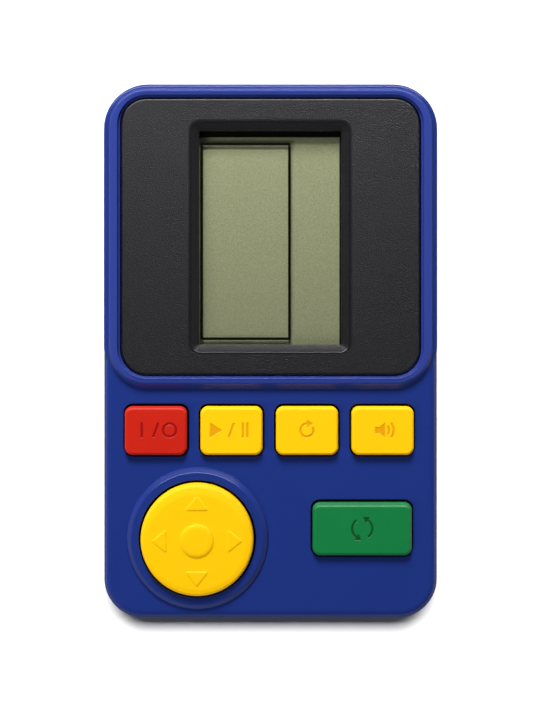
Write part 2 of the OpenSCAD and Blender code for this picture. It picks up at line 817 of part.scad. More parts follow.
module lcd_holder() {
    color("#e8e8e2")
    difference() {
        box(-glass_w / 2, glass_w / 2, glass_y0, glass_y0 + glass_l, board_top_z, reflector_z);
        box(
            holder_w - glass_w / 2, glass_w / 2 - holder_w,
            glass_y0 + ledge_l + holder_w, glass_y0 + glass_l - holder_w,
            board_top_z - cut, reflector_z + cut
        );
        box(
            film_margin - glass_w / 2 - zebra_gap, glass_w / 2 - film_margin + zebra_gap,
            zebra_y - zebra_t / 2 - zebra_gap, zebra_y + zebra_t / 2 + zebra_gap,
            board_top_z - cut, reflector_z + cut
        );
    }
}

module zebra_strip() {
    color("#4a4b50")
    box(
        film_margin - glass_w / 2, glass_w / 2 - film_margin,
        zebra_y - zebra_t / 2, zebra_y + zebra_t / 2, board_top_z, front_glass_z
    );
}

module main_board() {
    notch_r = front_post_r + board_post_gap;
    color("#1f6b3c")
    difference() {
        inner_block(wall + board_side_gap, board_z, board_top_z);
        for (p = post_places) {
            translate(p) rod(notch_r, board_z - cut, board_top_z + cut);
            mirror([p[0] < 0 ? 1 : 0, 0, 0])
                box(post_x, half_w, p[1] - notch_r, p[1] + notch_r, board_z - cut, board_top_z + cut);
        }
        for (p = board_post_places)
            translate(p) rod(board_screw_r + screw_gap, board_z - cut, board_top_z + cut);
    }
}

module chip_cap() {
    ball = (chip_r * chip_r + chip_h * chip_h) / (2 * chip_h);
    color("#1b1b1d")
    translate([-ceramic_r / 2 - chip_gap - chip_r, screen_y, board_z])
        rotate_extrude()
            intersection() {
                translate([0, ball - chip_h]) circle(ball, $fn = 4 * $fn);
                translate([0, -chip_h - cut]) square([chip_r + cut, chip_h + cut]);
            }
}

module capacitor() {
    color("#2b3440")
    translate([parts_in, screen_y - parts_drop, 0]) rod(capacitor_r, board_z - capacitor_h, board_z);
}

module resistors() {
    color("#1d1d20")
    for (i = [1:3])
        translate([parts_in, screen_y - parts_drop + capacitor_r + i * resistor_pitch, board_z - resistor_h])
            cube([resistor_l, resistor_w, resistor_h]);
}

module sounder_disc() {
    color("#c9a24a") translate([0, sounder_y, 0]) rod(sounder_r, sounder_z, sounder_z + sounder_t);
}

module sounder_ceramic() {
    color("#e4e1d8")
    translate([0, sounder_y, 0])
        rod(ceramic_r, sounder_z + sounder_t, sounder_z + sounder_t + ceramic_t);
}

module sounder_wires() {
    top_z = sounder_z + sounder_t + ceramic_t;
    color("#7a2020")
    for (s = [-1, 1])
        tube(
            wire_path(
                [s * ceramic_r / 2, sounder_y, top_z + wire_r],
                [s * ceramic_r / 2, sounder_y - sounder_r, board_z - wire_r],
                [s * ceramic_r / 2, 0, 0]
            ),
            wire_r, [1, 0.2, 0]
        );
}

// Cell along x with its pole to the left
module cell(y) {
    translate([-cell_x, y, cell_z])
        rotate([0, 90, 0]) {
            rod(pole_r, 0, pole_l + sink);
            rod(cell_d / 2, pole_l, cell_l);
        }
}

module upper_cell() {
    color("#c7a03c") cell(upper_cell_y);
}

module lower_cell() {
    color("#c7a03c") mirror([1, 0, 0]) cell(lower_cell_y);
}

// Contact plate on the left wall of the bay with its solder tail
module tailed_plate(y) {
    box(
        -bay_w / 2, -plate_x, y - contact_w / 2, y + contact_w / 2,
        cell_z - contact_w / 2, cell_z + contact_w / 2
    );
    box(
        -bay_w / 2 - bay_wall - tail_l, -plate_x, y - tail_w / 2, y + tail_w / 2,
        tail_z, tail_z + contact_t
    );
}

module dimple(y) {
    translate([-bay_w / 2, y, cell_z]) rotate([0, 90, 0]) rod(dimple_r, 0, contact_t + dimple_h);
}

module positive_contact() {
    color(steel) {
        tailed_plate(upper_cell_y);
        dimple(upper_cell_y);
    }
}

module negative_contact() {
    color(steel) tailed_plate(lower_cell_y);
}

module bridge_contact() {
    color(steel) {
        box(
            plate_x, bay_w / 2, lower_cell_y - contact_w / 2, upper_cell_y + contact_w / 2,
            cell_z - contact_w / 2, cell_z + contact_w / 2
        );
        mirror([1, 0, 0]) dimple(lower_cell_y);
    }
}

module cell_springs() {
    x0 = plate_x - spring_wire_r - spring_gap;
    x1 = plate_x - spring_l + spring_wire_r + spring_gap;
    color(steel) {
        tube(spring_path(-x0, -x1, lower_cell_y), spring_wire_r, [1, 0, 0]);
        tube(spring_path(x0, x1, upper_cell_y), spring_wire_r, [1, 0, 0]);
    }
}

// Wire from a solder tail up to the board
module battery_wire(y) {
    x = -bay_w / 2 - bay_wall - tail_l / 2;
    tube(
        wire_path([x, y, tail_z + contact_t + wire_r / 2], [x, y, board_z - wire_r / 2], [-tail_l / 2, 0, 0]),
        wire_r, [0, 1, 0]
    );
}

module red_wire() {
    color("#b3261e") battery_wire(upper_cell_y);
}

module black_wire() {
    color("#1c1c1e") battery_wire(lower_cell_y);
}

// Screw pointing up, with the underside of its head on z = 0
module screw(r, l, head_r, head_h) {
    difference() {
        union() {
            rod(head_r, -head_h, 0);
            rod(r, -sink, l);
        }
        for (a = [0, 90])
            rotate(a)
                box(
                    slot_rim - head_r, head_r - slot_rim, -slot_w / 2, slot_w / 2,
                    -head_h - cut, slot_depth - head_h
                );
    }
}

module case_screws() {
    color(steel)
    for (p = post_places)
        translate([p[0], p[1], screw_seat_z]) screw(screw_r, screw_l, screw_head_r, screw_head_h);
}

module board_screws() {
    color(steel)
    for (p = board_post_places)
        translate([p[0], p[1], board_z])
            screw(board_screw_r, board_t + board_screw_reach, board_head_r, board_head_h);
}

// Pictogram strokes, each drawn round its own middle
module bar(h) {
    square([mark_stroke, h], center = true);
}

module ring(r) {
    difference() {
        circle(r);
        circle(r - mark_stroke);
    }
}

// Part of a ring to the right of the middle, open by half an angle
module arc(r, half_angle) {
    intersection() {
        ring(r);
        polygon([
            [0, 0],
            2 * r * [cos(half_angle), -sin(half_angle)],
            [3 * r, 0],
            2 * r * [cos(half_angle), sin(half_angle)]
        ]);
    }
}

// Arrow head pointing to the right
module head(h) {
    polygon([[0, -h / 2], [h * 0.8, 0], [0, h / 2]]);
}

module power_mark() {
    translate([-mark_pitch, 0]) bar(mark_h);
    rotate(-mark_lean) bar(mark_h);
    translate([mark_pitch, 0]) ring(mark_h / 2);
}

module start_mark() {
    translate([-mark_pitch - mark_h / 2, 0]) head(mark_h);
    rotate(-mark_lean) bar(mark_h);
    for (s = [-1, 1]) translate([mark_pitch + s * mark_stroke, 0]) bar(mark_h);
}

module reset_mark() {
    r = mark_h / 2;
    difference() {
        ring(r);
        polygon([[0, 0], [0, 2 * r], [2 * r, 2 * r], [2 * r, r]]);
    }
    translate([0, r - mark_stroke / 2]) head(mark_h / 2);
}

module sound_mark() {
    polygon([
        [-mark_h / 2, -mark_h / 5], [-mark_h / 5, -mark_h / 5], [mark_h / 6, -mark_h / 2],
        [mark_h / 6, mark_h / 2], [-mark_h / 5, mark_h / 5], [-mark_h / 2, mark_h / 5]
    ]);
    for (r = [mark_h * 0.5, mark_h * 0.8]) arc(r, wave_angle);
}

module rotate_mark() {
    r = rotate_mark_h / 2;
    for (a = [0, 180])
        rotate(a) {
            arc(r, turn_angle);
            translate((r - mark_stroke / 2) * [cos(turn_angle), sin(turn_angle)])
                rotate(90 + turn_angle) head(rotate_mark_h / 3);
        }
}

// Hollow key cap with its flange and plunger; the children are its pictogram
module key_cap(w, l) {
    difference() {
        union() {
            difference() {
                union() {
                    swept_block(
                        w, l, key_r, key_r, concat([[0, flange_z]], top_round(key_edge_r, key_top_z))
                    );
                    round_block(
                        w + 2 * (key_gap + key_flange_w), l + 2 * (key_gap + key_flange_w),
                        key_r, flange_z, flange_z + flange_t
                    );
                }
                box(
                    key_wall - w / 2, w / 2 - key_wall, key_wall - l / 2, l / 2 - key_wall,
                    flange_z - cut, key_top_z - key_top_t
                );
            }
            rod(plunger_r, dome_top_z, key_top_z - key_top_t + sink);
        }
        translate([0, 0, key_top_z - mark_depth]) linear_extrude(mark_depth + cut) children();
    }
}

// Half section of a dome of height h with its pill's top at a given lift
module dome_section(h, lift) {
    plug = lift + pill_t;
    polygon([
        [0, plug],
        [pill_r + dome_skirt_t, plug],
        [dome_foot_r - 2 * dome_skirt_t, dome_foot_t - dome_skirt_t / 2],
        [dome_foot_r - 2 * dome_skirt_t, 0],
        [dome_foot_r, 0],
        [dome_foot_r, dome_foot_t],
        [dome_foot_r - dome_skirt_t, dome_foot_t],
        [dome_top_r, plug + dome_skirt_t / 2],
        [dome_top_r, h],
        [0, h]
    ]);
}

module key_dome() {
    color(silicone)
    translate([0, 0, board_top_z]) rotate_extrude() dome_section(dome_h, key_pill_lift);
}

module key_pill() {
    color(carbon)
    rod(pill_r, board_top_z + key_pill_lift, board_top_z + key_pill_lift + pill_t);
}

module on_key(i) {
    translate([key_x(i), row_y, 0]) children();
}

module on_rotate() {
    translate([rotate_x, rotate_y, 0]) children();
}

module at_pad_pills() {
    for (a = [0:90:270]) translate([pad_x, pad_y, 0]) rotate(a) translate([pad_pill_at, 0, 0]) children();
}

module direction_pad() {
    r = pad_d / 2;
    color(yellow)
    translate([pad_x, pad_y, 0])
    difference() {
        union() {
            rotate_extrude()
                polygon(concat(
                    [[0, pad_flange_z], [pad_flange_r, pad_flange_z], [pad_flange_r, pad_flange_z + flange_t],
                     [r, pad_flange_z + flange_t]],
                    [for (p = top_round(pad_edge_r, pad_top_z)) [r - p[0], p[1]]],
                    [for (p = top_round(dome_mark_h, pad_top_z + dome_mark_h)) [dome_mark_r - p[0], p[1]]],
                    [[0, pad_top_z + dome_mark_h]]
                ));
            for (a = [0:90:270])
                rotate(a)
                    translate([arrow_in, 0, pad_top_z - sink])
                        linear_extrude(arrow_h + sink)
                            polygon([[0, -arrow_w / 2], [arrow_l, 0], [0, arrow_w / 2]]);
        }
        translate([0, 0, pivot_z]) sphere(ball_r + ball_gap);
        rod(stem_r + stem_gap, pad_flange_z - cut, pivot_z);
    }
}

module pivot_ball() {
    color("#d8d8d2") translate([pad_x, pad_y, pivot_z]) sphere(ball_r);
}

module pivot_post() {
    color("#d8d8d2")
    translate([pad_x, pad_y, 0])
        difference() {
            union() {
                rod(stem_foot_r, board_top_z, board_top_z + stem_foot_t);
                rod(stem_r, board_top_z, pivot_z - cup_drop);
            }
            translate([0, 0, pivot_z]) sphere(ball_r + ball_gap);
        }
}

module pad_mat() {
    color(silicone)
    difference() {
        union() {
            translate([pad_x, pad_y, 0]) rod(mat_r, board_top_z, board_top_z + dome_foot_t);
            at_pad_pills() rod(dome_top_r, board_top_z, pad_flange_z);
        }
        at_pad_pills() rod(pill_r + dome_skirt_t, board_top_z - cut, board_top_z + pad_pill_lift + pill_t);
        translate([pad_x, pad_y, 0]) rod(stem_foot_r + mat_gap, board_top_z - cut, pad_flange_z);
    }
}

module pad_pills() {
    color(carbon)
    at_pad_pills() rod(pill_r, board_top_z + pad_pill_lift, board_top_z + pad_pill_lift + pill_t);
}

front_shell();
back_shell();
battery_door();
screen_bezel();
bezel_tape();
lcd_polarizer();
lcd_front_glass();
lcd_rear_glass();
lcd_reflector();
lcd_holder();
zebra_strip();
main_board();
chip_cap();
capacitor();
resistors();
sounder_disc();
sounder_ceramic();
sounder_wires();
upper_cell();
lower_cell();
positive_contact();
negative_contact();
bridge_contact();
cell_springs();
red_wire();
black_wire();
case_screws();
board_screws();
direction_pad();
pivot_ball();
pivot_post();
pad_mat();
pad_pills();
on_key(0) color(red) key_cap(key_w, key_l) power_mark();  // power_key
on_key(1) color(yellow) key_cap(key_w, key_l) start_mark();  // start_key
on_key(2) color(yellow) key_cap(key_w, key_l) reset_mark();  // reset_key
on_key(3) color(yellow) key_cap(key_w, key_l) sound_mark();  // sound_key
on_rotate() color(green) key_cap(rotate_w, rotate_l) rotate_mark();  // rotate_key
on_key(0) key_dome();  // power_dome
on_key(1) key_dome();  // start_dome
on_key(2) key_dome();  // reset_dome
on_key(3) key_dome();  // sound_dome
on_rotate() key_dome();  // rotate_dome
on_key(0) key_pill();  // power_pill
on_key(1) key_pill();  // start_pill
on_key(2) key_pill();  // reset_pill
on_key(3) key_pill();  // sound_pill
on_rotate() key_pill();  // rotate_pill
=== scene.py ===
import json
import bpy
import numpy as np
from mathutils.geometry import tessellate_polygon
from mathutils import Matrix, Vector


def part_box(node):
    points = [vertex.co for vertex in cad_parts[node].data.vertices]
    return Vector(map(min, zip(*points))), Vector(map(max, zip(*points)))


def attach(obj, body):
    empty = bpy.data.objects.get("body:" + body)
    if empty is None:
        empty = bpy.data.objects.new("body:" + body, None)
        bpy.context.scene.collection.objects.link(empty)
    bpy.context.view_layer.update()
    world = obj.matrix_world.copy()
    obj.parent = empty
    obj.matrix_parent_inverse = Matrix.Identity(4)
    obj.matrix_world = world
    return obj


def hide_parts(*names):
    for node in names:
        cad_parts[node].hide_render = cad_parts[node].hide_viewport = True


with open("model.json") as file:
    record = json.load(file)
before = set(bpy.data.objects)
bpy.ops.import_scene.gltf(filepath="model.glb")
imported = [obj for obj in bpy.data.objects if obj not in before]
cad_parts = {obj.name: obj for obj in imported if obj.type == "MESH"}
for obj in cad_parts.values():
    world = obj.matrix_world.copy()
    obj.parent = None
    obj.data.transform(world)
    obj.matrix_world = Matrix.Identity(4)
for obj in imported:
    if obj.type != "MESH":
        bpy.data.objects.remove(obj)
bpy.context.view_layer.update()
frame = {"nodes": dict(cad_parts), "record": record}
mm = 0.001  # all sizes below are in millimetres, the meshes in metres
print("frame loaded:", len(frame["nodes"]), "nodes")


def nodeBox(name):  # lowest and highest corner of a CAD node, in mm
    lo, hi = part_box(name)
    return np.array(lo) / mm, np.array(hi) / mm


def nodeMiddle(name):  # middle of that box, seen from above
    lo, hi = nodeBox(name)
    return ((lo + hi) / 2)[:2]


# Surfaces

fine = {"corner": 15, "small": 32, "turned": 96, "large": 128}  # points on a quarter and on whole turns
join = {"digits": 4, "sliver": 1e-7, "sharpDeg": 36}  # digits of a mm that count, twice the least area in mm2
quarter = np.linspace(0, np.pi / 2, fine["corner"])
plainArcs = [quarter + k * np.pi / 2 for k in range(4)]


# One ring of a rounded rectangle for each level z:
# corner sign * (half size - radius) + radius * (cos a, sin a), the corners in turn from the upper right
def roundRects(w, l, r, z, middle=(0, 0), arcs=plainArcs):
    w, l, r, z = (v[:, None] for v in np.broadcast_arrays(w, l, r, z))
    a = np.concatenate(arcs)
    counts = [len(arc) for arc in arcs]
    signX = np.repeat([1, -1, -1, 1], counts)
    signY = np.repeat([1, 1, -1, -1], counts)
    x = middle[0] + signX * (w / 2 - r) + r * np.cos(a)
    y = middle[1] + signY * (l / 2 - r) + r * np.sin(a)
    return np.stack([x, y, np.broadcast_to(z, x.shape)], -1)


# A profile of (radius, z) points turned about an upright axis: (r cos a, r sin a, z)
def turned(profile, middle, steps=fine["turned"]):
    r, z = np.asarray(profile, float).T[..., None]
    a = np.linspace(0, 2 * np.pi, steps, endpoint=False)
    x = middle[0] + r * np.cos(a)
    y = middle[1] + r * np.sin(a)
    return np.stack([x, y, np.broadcast_to(z, x.shape)], -1)


# A grid of plan points lifted to its levels: (x, y) becomes (x, y, z)
def lifted(plan, z):
    return np.concatenate([plan, np.broadcast_to(z[..., None], plan.shape[:2] + (1,))], -1)


# A polyline whose inner corners become arcs of the given radii, tangent to both sides:
# the arc turns from one tangent point to the other about corner + bisector * r / sin(half angle)
def roundedLine(points, radii, steps=6):
    p = np.asarray(points, float)
    t = np.linspace(0, 1, steps + 1)[:, None]
    line = [p[:1]]
    for before, corner, after, r in zip(p[:-2], p[1:-1], p[2:], radii):
        a = (before - corner) / np.linalg.norm(before - corner)
        b = (after - corner) / np.linalg.norm(after - corner)
        half = np.arccos(np.clip(a @ b, -1, 1)) / 2
        middle = corner + (a + b) / np.linalg.norm(a + b) * r / np.sin(half)
        start = corner + a * r / np.tan(half) - middle
        end = corner + b * r / np.tan(half) - middle
        turn = np.pi - 2 * half
        line.append(middle + (np.sin((1 - t) * turn) * start + np.sin(t * turn) * end) / np.sin(turn))
    line.append(p[-1:])
    return np.concatenate(line)


# Quads of a grid of points, closed round its second direction if asked
def skin(grid, closed=True):
    rows, cols = grid.shape[:2]
    i = np.arange(rows * cols).reshape(rows, cols)
    if closed:
        i = np.concatenate([i, i[:, :1]], 1)
    return grid, np.stack([i[:-1, :-1], i[:-1, 1:], i[1:, 1:], i[1:, :-1]], -1).reshape(-1, 4)


# Triangles of a level face inside the first loop and outside the others, facing up or down
def levelFace(loops, up=1):
    points = np.concatenate(loops)
    tris = np.array(tessellate_polygon([loop.tolist() for loop in loops]))
    a, b, c = (points[tris[:, k], :2] for k in range(3))
    turn = (b[:, 0] - a[:, 0]) * (c[:, 1] - a[:, 1]) - (b[:, 1] - a[:, 1]) * (c[:, 0] - a[:, 0])
    tris = np.where((turn * up < 0)[:, None], tris[:, ::-1], tris)
    return points, tris[np.abs(turn) > join["sliver"]]


# Joins patches of (points, faces) into one skin: equal points are merged,
# and a quad with a merged side becomes a triangle
def makePiece(name, patches, body, slot, nodes, values=None):
    points = np.concatenate([p.reshape(-1, 3) for p, f in patches])
    starts = np.cumsum([0] + [p.size // 3 for p, f in patches])
    rounded = np.round(points, join["digits"])
    first, back = np.unique(rounded, axis=0, return_index=True, return_inverse=True)[1:]
    faces = []
    for (p, f), start in zip(patches, starts):
        f = back.ravel()[f + start]
        same = f == np.roll(f, -1, axis=1)
        faces += f[~same.any(1)].tolist()
        thin = same.sum(1) == 1
        if f.shape[1] == 4 and thin.any():
            faces += f[thin][~same[thin]].reshape(-1, 3).tolist()
    mesh = bpy.data.meshes.new(name)
    mesh.from_pydata((points[first] * mm).tolist(), [], faces)
    for label, value in (values or {}).items():
        layer = mesh.attributes.new(label, "FLOAT", "POINT")
        layer.data.foreach_set("value", np.concatenate(value)[first].astype(np.float32))
    mesh.shade_smooth()
    mesh.set_sharp_from_angle(angle=np.radians(join["sharpDeg"]))
    mesh.materials.append(finish[slot])
    obj = bpy.data.objects.new(name, mesh)
    bpy.context.scene.collection.objects.link(obj)
    even = obj.modifiers.new("evenShading", "WEIGHTED_NORMAL")
    even.keep_sharp = True
    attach(obj, body)
    if nodes:
        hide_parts(*nodes)
    print("made", name, len(mesh.polygons), "faces")
    return obj


# Materials

noise = {"blotchDetail": 3.0, "gritDetail": 2.0, "contrast": 0.5, "roughVary": 0.05, "smoothShare": 0.6}
# colours that a point attribute brings in: the darker floor of engraved places,
# painted light that makes the raised frame a lighter blue, and painted shade low in the gaps
tintBy = {"mark": "engrave", "paintedLight": "raised", "gap": "paintedGapShade"}


def linear(hexText):  # sRGB hex to linear RGBA
    c = np.array([int(hexText[k:k + 2], 16) / 255 for k in (1, 3, 5)])
    c = np.where(c <= 0.04045, c / 12.92, ((c + 0.055) / 1.055) ** 2.4)
    return (*c.tolist(), 1.0)


def addNode(mat, kind, values=None, links=None, **settings):  # a shader node with its values and links
    n = mat.node_tree.nodes.new("ShaderNode" + kind)
    for key, value in settings.items():
        setattr(n, key, value)
    for key, value in (values or {}).items():
        n.inputs[key].default_value = value
    for key, source in (links or {}).items():
        mat.node_tree.links.new(source, n.inputs[key])
    return n


# A solid finish: a slow blotch varies the colour, a fine grit varies the gloss and the relief.
# spec: colour and shade (hex), rough, and grit, blotch and relief (mm); where needed also ior, metal,
# alpha, contrast (half the range of noise between the two colours), a painted shade falloff along y, grained,
# and the tints: mark, painted light and painted gap shade.
# A colour Mix takes its factor at 0 and its two colours at 6 and 7, and gives the result at 2
def solidFinish(name, spec):
    mat = bpy.data.materials.new(name)
    mat.use_nodes = True
    mat.node_tree.nodes.clear()
    place = addNode(mat, "TexCoord").outputs["Object"]
    blotch = addNode(mat, "TexNoise", {"Scale": 1 / (spec["blotch"] * mm), "Detail": noise["blotchDetail"]},
                     {"Vector": place}).outputs[0]
    grit = addNode(mat, "TexNoise", {"Scale": 1 / (spec["grit"] * mm), "Detail": noise["gritDetail"]},
                   {"Vector": place}).outputs[0]
    half = spec.get("contrast", noise["contrast"])
    patchy = addNode(mat, "MapRange", {"From Min": 0.5 - half, "From Max": 0.5 + half},
                     {"Value": blotch}).outputs[0]
    colour = addNode(mat, "Mix", {6: linear(spec["colour"]), 7: linear(spec["shade"])},
                     {0: patchy}, data_type="RGBA").outputs[2]
    if "paintedFalloff" in spec:  # painted shade: brightness falls from the high y to a share of it at the low y
        low, high, dim = spec["paintedFalloff"]
        y = addNode(mat, "SeparateXYZ", links={0: place}).outputs[1]
        level = addNode(mat, "MapRange",
                        {"From Min": low * mm, "From Max": high * mm, "To Min": dim, "To Max": 1.0},
                        {"Value": y}).outputs[0]
        colour = addNode(mat, "Mix", {0: 1.0}, {6: colour, 7: level},
                         data_type="RGBA", blend_type="MULTIPLY").outputs[2]
    for key, label in tintBy.items():
        if key in spec:
            amount = addNode(mat, "Attribute", attribute_name=label).outputs["Fac"]
            colour = addNode(mat, "Mix", {7: linear(spec[key])}, {0: amount, 6: colour},
                             data_type="RGBA").outputs[2]
    vary = noise["roughVary"]
    least, most = spec["rough"] * (1 - vary), spec["rough"] * (1 + vary)
    rough = addNode(mat, "MapRange", {"To Min": least, "To Max": most}, {"Value": grit}).outputs[0]
    height = grit
    if "grained" in spec:  # relief only where the attribute says so, and a smoother finish elsewhere
        cover = addNode(mat, "Attribute", attribute_name=spec["grained"]).outputs["Fac"]
        height = addNode(mat, "Math", links={0: height, 1: cover}, operation="MULTIPLY").outputs[0]
        gloss = addNode(mat, "MapRange", {"To Min": noise["smoothShare"], "To Max": 1.0},
                        {"Value": cover}).outputs[0]
        rough = addNode(mat, "Math", links={0: rough, 1: gloss}, operation="MULTIPLY").outputs[0]
    relief = addNode(mat, "Bump", {"Strength": 1.0, "Distance": spec["relief"] * mm}, {"Height": height})
    optics = {"IOR": spec.get("ior", 1.5), "Metallic": spec.get("metal", 0.0)}
    optics["Alpha"] = spec.get("alpha", 1.0)
    shader = addNode(mat, "BsdfPrincipled", optics,
                     {"Base Color": colour, "Roughness": rough, "Normal": relief.outputs[0]})
    addNode(mat, "OutputMaterial", links={"Surface": shader.outputs[0]})
    return mat


# Each slot of the record: the real material and how it was made, with what that gives the eye.
# Real moulding grit is finer than the render shows, so it is drawn at 0.1 to 0.4 mm
finishSpecs = {
    # injection-moulded ABS in deep blue: satin, faint spark-eroded grit; painted light on the frame, painted
    # shade in holes
    "shell_blue": ("absBlueMoulded", dict(
        colour="#1c327e", shade="#192e78", rough=0.24, grit=0.4, blotch=14, relief=0.001, ior=1.46,
        paintedLight="#2d3d8b", gap="#050507")),
    # moulded ABS panel with a fine leather grain, nearly black
    "bezel_charcoal": ("absCharcoalGrained", dict(
        colour="#15151b", shade="#010103", rough=0.46, grit=0.24, blotch=0.35, relief=0.1, ior=1.63,
        contrast=0.14, grained="grain")),
    # foam tape: dull black
    "tape_black": ("acrylicFoamTape", dict(
        colour="#141415", shade="#1b1b1d", rough=0.8, grit=0.2, blotch=4, relief=0.02)),
    # matt polarizer film: nearly see-through, with a trace of haze
    "display_film": ("polarizerFilmMatt", dict(
        colour="#929776", shade="#8b906e", rough=0.5, grit=0.25, blotch=1.2, relief=0.002, alpha=0.004)),
    # float glass: nearly see-through and smooth
    "display_glass": ("sodaLimeGlass", dict(
        colour="#c9d2bd", shade="#c3ccb8", rough=0.05, grit=0.8, blotch=8, relief=0.0003, ior=1.52,
        alpha=0.003)),
    # transflective film behind the display: olive with a fine mottle, and painted shade that darkens it
    # towards the low y
    "reflector_film": ("reflectorFilmOlive", dict(
        colour="#a0a481", shade="#707457", rough=0.7, grit=0.22, blotch=0.3, relief=0.004, ior=1.02,
        contrast=0.55, paintedFalloff=(2, 48, 0.71))),
    # moulded nylon: milky white, half matt
    "holder_white": ("nylonWhite", dict(
        colour="#e6e5dd", shade="#dddcd2", rough=0.55, grit=0.3, blotch=6, relief=0.006)),
    # layers of silicone with and without carbon: dark grey, finely mottled
    "zebra_rubber": ("zebraRubber", dict(
        colour="#3f4045", shade="#55565c", rough=0.7, grit=0.15, blotch=0.4, relief=0.01)),
    # solder mask, screen printed: smooth green with slow darker patches
    "board_green": ("solderMaskGreen", dict(
        colour="#1d6a3a", shade="#175a31", rough=0.35, grit=0.6, blotch=3.2, relief=0.01, ior=1.55)),
    # poured epoxy: glossy black with a slightly wavy face
    "epoxy_black": ("epoxyBlack", dict(
        colour="#151517", shade="#1e1e20", rough=0.22, grit=1.2, blotch=3, relief=0.02, ior=1.55)),
    # shrunk polyester sleeve: glossy dark blue
    "capacitor_sleeve": ("petSleeve", dict(
        colour="#20303f", shade="#263848", rough=0.25, grit=0.8, blotch=3, relief=0.004)),
    # rolled brass: warm metal with a soft gloss
    "sounder_brass": ("brassRolled", dict(
        colour="#c9a350", shade="#b98f3f", rough=0.3, grit=0.12, blotch=2, relief=0.002, metal=1.0)),
    # fired ceramic under a silver paint: pale, half matt
    "sounder_ceramic": ("piezoCeramicSilvered", dict(
        colour="#dfdcd2", shade="#cfccc2", rough=0.5, grit=0.2, blotch=1.5, relief=0.004)),
    # extruded wire sleeves: one even colour with a soft gloss
    "wire_red": ("pvcRed", dict(
        colour="#b3221b", shade="#a01b16", rough=0.4, grit=0.3, blotch=3, relief=0.004)),
    "wire_black": ("pvcBlack", dict(
        colour="#18181a", shade="#202022", rough=0.4, grit=0.3, blotch=3, relief=0.004)),
    # steel can under a tinted lacquer: gold, partly metal
    "cell_case": ("steelCanLacquered", dict(
        colour="#c9a441", shade="#bb9535", rough=0.28, grit=0.4, blotch=5, relief=0.002, metal=0.6)),
    # nickel plate on spring steel: pale bright metal
    "contact_steel": ("nickelPlatedSpring", dict(
        colour="#c3c4c6", shade="#b2b3b5", rough=0.26, grit=0.2, blotch=1.5, relief=0.002, metal=1.0)),
    # zinc plate: a darker and duller metal than nickel
    "screw_steel": ("zincPlatedSteel", dict(
        colour="#b9bbc0", shade="#a5a8ae", rough=0.32, grit=0.2, blotch=1.2, relief=0.003, metal=1.0)),
    # moulded ABS caps and pad: a softer gloss than the case, and painted shade low in the gaps
    "pad_yellow": ("absYellowMoulded", dict(
        colour="#ffc700", shade="#ffc300", rough=0.54, grit=0.4, blotch=6, relief=0.002, ior=1.31,
        mark="#e39c00", gap="#0a0703")),
    "key_red": ("absRedMoulded", dict(
        colour="#c6210f", shade="#be1d0c", rough=0.44, grit=0.4, blotch=6, relief=0.003, ior=1.37,
        mark="#960404", gap="#080303")),
    "key_green": ("absGreenMoulded", dict(
        colour="#0b7b3e", shade="#087339", rough=0.42, grit=0.4, blotch=6, relief=0.003, ior=1.5,
        mark="#014a1c", gap="#030603")),
    # moulded acetal without pigment: milky white with a soft gloss
    "pivot_plastic": ("acetalNatural", dict(
        colour="#dadad2", shade="#d0d0c8", rough=0.4, grit=0.4, blotch=4, relief=0.002)),
    # moulded silicone: pale grey and matt
    "silicone_grey": ("siliconeGrey", dict(
        colour="#b4b7ae", shade="#a9aca3", rough=0.6, grit=0.3, blotch=3, relief=0.006, ior=1.43)),
    # moulded silicone full of carbon: dull black
    "carbon_pill": ("carbonFilledSilicone", dict(
        colour="#1a1b1d", shade="#242527", rough=0.75, grit=0.12, blotch=0.6, relief=0.01)),
}
finish = {slot: solidFinish(name, spec) for slot, (name, spec) in finishSpecs.items()}
print("materials:", len(finish))


# Front shell: outer wall, edge rounding, raised screen frame, key field, holes and the pad's ring
# as one skin, with the screw posts inside

shell = {
    "cornerTop": 10.0, "cornerBottom": 8.7, "wall": 2.0, "innerRound": 0.05,
    "seamZ": 11.2, "seamRound": 0.15, "grooveW": 1.0, "grooveTop": 12.4,
    "faceZ": 22.0, "edgeRound": 1.9, "edgeSteps": 13, "roofZ": 20.0, "shelfZ": 19.15,
    "rimFoot": -8.8, "rimTop": 23.6, "rimIn": 0.95, "rimLowIn": 0.4, "rimRound": 0.8, "footRound": 0.12,
    "footSteps": 9, "slopeW": 1.6, "flatEdge": 0.8, "ridgeRound": 0.35,
    "recessW": 68.6, "recessL": 63.4, "recessR": 6.7, "recessZ": 20.65, "recessRound": 0.16, "recessLip": 0.4,
    "draft": 0.28, "ledgeEnd": 0.52, "ledgeZ": 22.7, "ledgeRound": 0.06,
    "glassGap": 0.4, "holeRound": 0.15,
    "ringTop": 23.2, "ringFoot": 15.98, "ringKnee": (15.72, 22.4), "ringKneeRound": 0.7, "ringRidge": 14.75,
    "ringHole": 13.1, "ringRound": 0.45,
    # painted light on the frame's top: its rise and its fade at the lower end; painted shade low in the holes
    "paintedLightH": 0.8, "paintedLightFade": 3.0, "shadeFrom": 0.1, "shadeH": 0.5,
    # head radius, post radius, pilot radius, lower end of the post
    "case_screws": (2.4, 3.2, 1.15, 9.6), "board_screws": (2.0, 2.4, 0.85, 15.8),
}
keyCap = {
    "gap": 0.4, "flange": 0.9, "corner": 1.7, "flangeZ": (19.1, 19.9), "flangeRound": 0.1, "upperGap": 0.12,
    "slope": {"power_key": 0.6, "start_key": 0.6, "reset_key": 0.6, "sound_key": 0.6, "rotate_key": 0.86},
    "slopeDeg": 49, "slopeFootRound": 0.3, "ridgeRound": 0.75, "lowShare": 0.6, "plunger": (2.2, 18.6),
    "gridStep": 0.085, "margin": 1.4, "gridIn": 0.3, "soft": 0.16, "markDepth": 0.1, "shadeRise": 0.8,
}
padMiddle = nodeMiddle("direction_pad")
gapDepth = 0.9  # from the level where the shade of a gap starts to where it is full


# share of gap shade at each point: (level - z) / gap depth, kept between none and full
def gapShade(patches, level):
    return [np.clip((level - p[..., 2].ravel()) / gapDepth, 0, 1) for p, f in patches]


